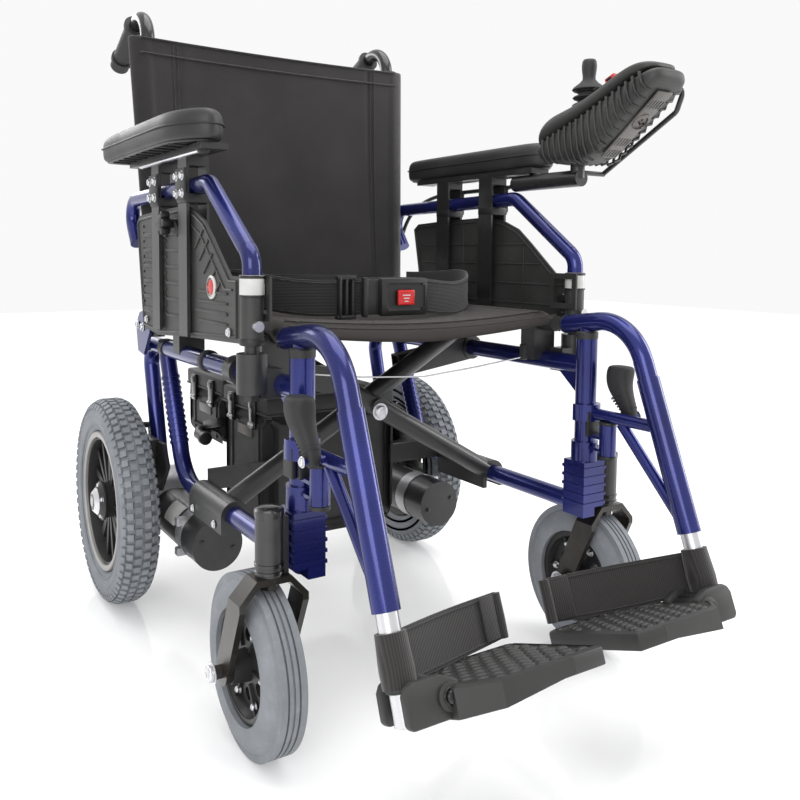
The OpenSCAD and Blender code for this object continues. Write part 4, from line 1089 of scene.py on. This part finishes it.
def sew_heel_straps():
    low, wide = PLATE_TOP + 7, 48
    high = low + wide

    def band_spot(u, v):
        return at(*strap_line(u), low + wide * v + strap_lift(u, v))

    band = grid("band", 40, 10, band_spot)
    shape(band, "SOLIDIFY", thickness=2.2 * MM, offset=0)
    collar = hoop((0, 0, low), Z, [(12.5, -2), (16, -1), (16.8, 15), (15.6, 35), (15, 47), (12, 47)], 36)
    x, y = strap_line(1)
    roll = lathe((x, y, low), Z, [(3, 1), (6, 1), (6.4, 23), (6, wide), (3, wide)], 24)
    tail = block((x + 16, y - 5.5, low + 25), (26, 2, 45), 0.6, (0, 0, -16))
    straps = finish_both(in_leg(join([band, collar, roll, tail])), "heel_webbing", "footrest_{side}", "webbing",
                         STRAP_WEB, 50)
    hems = []
    for z in (low + 3.5, high - 3.5):
        line = [(x, y - 1.5, z + strap_lift(k / 16, (z - low) / wide))
                for k, (x, y) in enumerate(strap_line(k / 16) for k in range(17))]
        hems.append(bar(line, 0.7, "hem", 6))
    seams = finish_both(in_leg(join(hems)), "heel_hems", "footrest_{side}", "webbing", STRAP_WEB, 60)
    stand_in(straps, "heel_strap")
    for side, strap, seam in zip((LEFT, RIGHT), straps, seams):
        tube = at(TUBE_X * side, -449, 186)
        for piece in (strap, seam):
            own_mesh(piece)


def grip_latches():
    """The release levers' rubber handles: a broad head, a ribbed neck and a slim foot."""
    rings = []
    for x, y, z, half_x, half_y, lean in ((232, -325, 337, 5, 5, -0.3), (232, -324, 345, 8.5, 8.5, -0.4),
                                          (232, -319, 356, 9.5, 9.5, -0.5), (233, -312, 367, 10.5, 11, -0.5),
                                          (234, -305, 377, 12.5, 14, -0.45), (235, -301, 387, 14.5, 17, -0.25),
                                          (236, -301, 398, 15, 18.5, -0.1), (236, -302, 406, 14, 17.5, 0),
                                          (236, -302, 408.5, 10, 14, 0)):
        rings.append(oval((x, y, z), half_x, half_y, 2.8, 16, lean))
    grips = finish_both(loft(rings, 2), "latch_grip", "latch_{side}", "grip_plastic", GRIP_RUBBER, 60)
    stand_in(grips, "hanger_lever")
    bands = []
    for k in range(6):
        t = k / 5
        bands.append(loft([oval((232.4, -320 + 13 * t, 353 + 17 * t + d), 9.4 + 1.8 * t, 9.6 + 3 * t, 2.8, 24, -0.5)
                           for d in (-0.9, 0, 0.9)], 0))
    finish_both(join(bands), "latch_grip_ribs", "latch_{side}", "grip_plastic", GRIP_RUBBER, 50)
    pin = bolt((244, -324, 345), X, 4.5, 3)
    finish_both(pin, "latch_pin_cap", "legrest_{side}", "bright_tube", STEEL)
    plugs = [drum((TUBE_X, -223, 459), Y, 12.7, 5, 36, 1.6),
             lathe((TUBE_X, -262, 444.5), Z, [(14.6, -2), (14.8, 6), (13, 8)], 40)]
    finish_both(join(plugs), "hanger_plugs", "legrest_{side}", "fitting_plastic", BLACK_PLASTIC)


# ---- frame fittings ----

def fit_frame():
    plungers = [drum((TUBE_X, -303, z), Z, 11.4, high, 32, 1.2) for z, high in ((289, 5), (334, 4))]
    windows = [block((TUBE_X, -277, 330), (24, 6, 34), 1.5), block((228, -262, 330), (6, 22, 34), 1.5)]
    sleeve = hoop((TUBE_X, 197, 406), Y, [(13, -8), (14.6, -7), (14.6, 7), (13, 8)], 40)
    loop = hoop((TUBE_X, 20, 406), Y, [(12.6, -5), (15.2, -4), (15.2, 4), (12.6, 5)], 40)
    block_rear = block((234, 222, 236), (16, 52, 60), 4)
    finish_both(join(plungers + windows + [sleeve, loop, block_rear]), "frame_bushes", "{side}_frame",
                "fitting_plastic", BLACK_PLASTIC)
    screws = [bolt(place, X, radius, high) for place, radius, high in
              (((233.6, -50, 203), 4, 3), ((233.6, 30, 203), 4, 3), ((237, 246, 436), 5, 4), ((237, 272, 438), 5, 4),
               ((229, 258, 406), 6, 4))]
    screws.append(bolt((TUBE_X, -303, 340), Z, 5, 6))
    finish_both(join(screws), "frame_screws", "{side}_frame", "bright_tube", STEEL)
    x, z = MOTOR_X, MOTOR_Z
    faces = [bolt((x + 24 * math.cos(a), 41, z + 24 * math.sin(a)), (0, -1, 0), 2.6, 2) for a in (0.3, 3.44)]
    seams = [hoop((x, 92, z), Y, [(37.2, -0.6), (37.9, 0), (37.2, 0.6)], 64)]
    finish_both(join(faces + seams), "motor_screws", "{side}_frame", "fitting_plastic", BLACK_GLOSS)
    tag = grid("tag", 16, 6, lambda u, v: at(x + 36.6 * math.cos(0.25 + 0.9 * u), 128 + 46 * v,
                                             z + 36.6 * math.sin(0.25 + 0.9 * u)))
    shape(tag, "SOLIDIFY", thickness=0.5 * MM, offset=0)
    finish_both(tag, "motor_tag", "{side}_frame", "bright_tube", WHITE_PLASTIC)
    brush = [block((x + 32, 106, z + 22 * s), (16, 14, 12), 2) for s in (-1, 1)]
    finish_both(join(brush), "motor_brush_caps", "{side}_frame", "cast_alloy", ALLOY)
    gearbox_x, _, axle_z = 177, *WHEEL[1:]
    ring = around_wheel(bolt((gearbox_x, DRIVE_AXLE_Y, axle_z + 37), -X, 3, 3), (gearbox_x, DRIVE_AXLE_Y, axle_z), 6)
    finish_both(ring, "gearbox_screws", "{side}_frame", "bright_tube", STEEL)
    finish(bolt((0, -80, 333), -Y, 9, 6), "brace_bolt", "brace_left", "bright_tube", STEEL)


def lace_seat_stay():
    """The thin steel stay under the front of the seat."""
    line = [(-172, 411), (-90, 401), (5, 395), (90, 402), (172, 411)]
    stay = bar([(x, -180, z) for x, z in line], 1.0, "stay", 8)
    finish(stay, "seat_stay", "seat", "bright_tube", STEEL)
    clips = join([block((s * 174, -180, 418), (8, 10, 22), 1.5) for s in (-1, 1)])
    finish(clips, "seat_stay_clips", "seat", "fitting_plastic", BLACK_PLASTIC)
    for piece in (stay, clips):
        at(0, -180, 400)
        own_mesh(piece)


CABLE_ROUTE = [(250, -69.6, 662), (252, -60, 661), (258, -50, 660), (265, -40, 660), (268, -24, 660), (268, 10, 660),
               (268, 50, 659), (268, 90, 659), (268, 130, 658), (267, 170, 655), (266, 205, 646), (264, 236, 630),
               (262, 256, 606), (259, 266, 576), (254, 268, 546), (248, 262, 516), (243, 253, 490), (242, 250, 470)]


def run_cable():
    """The cord from the controller, back under the armrest tube and down into the frame."""
    cable = bar(CABLE_ROUTE, 3.5, "cable", 16, True)
    dress(cable, "control_cable_jacket", "cable_jacket", BLACK_SATIN, 60)
    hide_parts("control_cable")
    places = [at(*spot) for spot in CABLE_ROUTE]
    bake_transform(cable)


# ---- batteries ----

def box_batteries():
    width, length = 216, 172
    for name, y, low, high in (("front", 58, 128, 340), ("rear", 232.4, 238, 346)):
        mid = y + length / 2
        body = block((0, mid, (low + high - 26) / 2), (width, length, high - 26 - low), 7)
        pick(body, lambda c, n: abs(n.x) > 0.9 or n.y < -0.9)
        bpy.ops.mesh.inset(thickness=14 * MM, use_individual=True)
        object_mode()
        lid = block((0, mid, high - 14), (width + 6, length + 2, 25), 4)
        lip = block((0, mid, high - 27), (width + 8, length + 3, 4), 1.5)
        ribs = [block((x, mid, high - 1), (5, length - 30, 3), 1) for x in range(-80, 81, 32)]
        side_ribs = [block((s * (width / 2 + 0.6), y + length * k / 5, (low + high - 40) / 2),
                           (3, 5, high - 46 - low), 1) for s in (-1, 1) for k in (1, 4)]
        handle = bar([(-42, mid - 32, high - 4), (-38, mid - 32, high + 8), (38, mid - 32, high + 8),
                      (42, mid - 32, high - 4)], 4.5, "handle", 12)
        case = join([body, lid, lip, handle] + ribs + side_ribs)
        finish(case, f"battery_case_{name}", "batteries", "battery_plastic", BATTERY_PLASTIC)
        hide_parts(f"battery_{name}")
        clips, rivets, panes = [], [], []
        for s in (-1, 1):
            face = s * (width / 2 + 4)
            for k in (0.26, 0.74):
                clips.append(block((face + s * 1.5, y + length * k, high - 30), (6, 20, 46), 2))
                clips.append(block((face + s * 4, y + length * k, high - 16), (5, 16, 12), 2))
                for dy in (-5, 5):
                    rivets.append(bolt((face + s * 4.5, y + length * k + dy, high - 46), (s, 0, 0), 2.6, 3))
            panes.append(block((s * (width / 2 + 0.8), mid, high - 62), (2.4, 56, 16), 1))
        finish(join(clips), f"battery_clips_{name}", "batteries", "fitting_plastic", BLACK_GLOSS)
        finish(join(rivets), f"battery_rivets_{name}", "batteries", "bright_tube", STEEL)
        finish(join(panes), f"battery_panes_{name}", "batteries", "battery_plastic", STRIP_PLASTIC)
    elbows = []
    for s in (-1, 1):
        bend = [(s * 110, 300, 250), (s * 127, 298, 250), (s * 131, 290, 246), (s * 131, 262, 244)]
        elbows.append(bar(bend, 9, "elbow", 20))
        elbows.append(drum((s * 131, 262, 244), Y, 11, 14, 30, 2))
        elbows.append(block((s * 116, 262, 268), (12, 70, 14), 2, (-14, 0, 0)))
    finish(join(elbows), "battery_elbows", "batteries", "fitting_plastic", BLACK_PLASTIC)


# ---- putting it together ----

set_camera()
light_studio()
lay_floor()
dress_frame()
sew_back()
sew_seat()
wear_belt()
pad_arms()
trim_posts()
rib_panel()
mould_controller()
turn_stick()
shoe_drive_wheels()
fit_casters()
shape_footplates()
hang_footrests()
sew_heel_straps()
grip_latches()
fit_frame()
lace_seat_stay()
run_cable()
box_batteries()
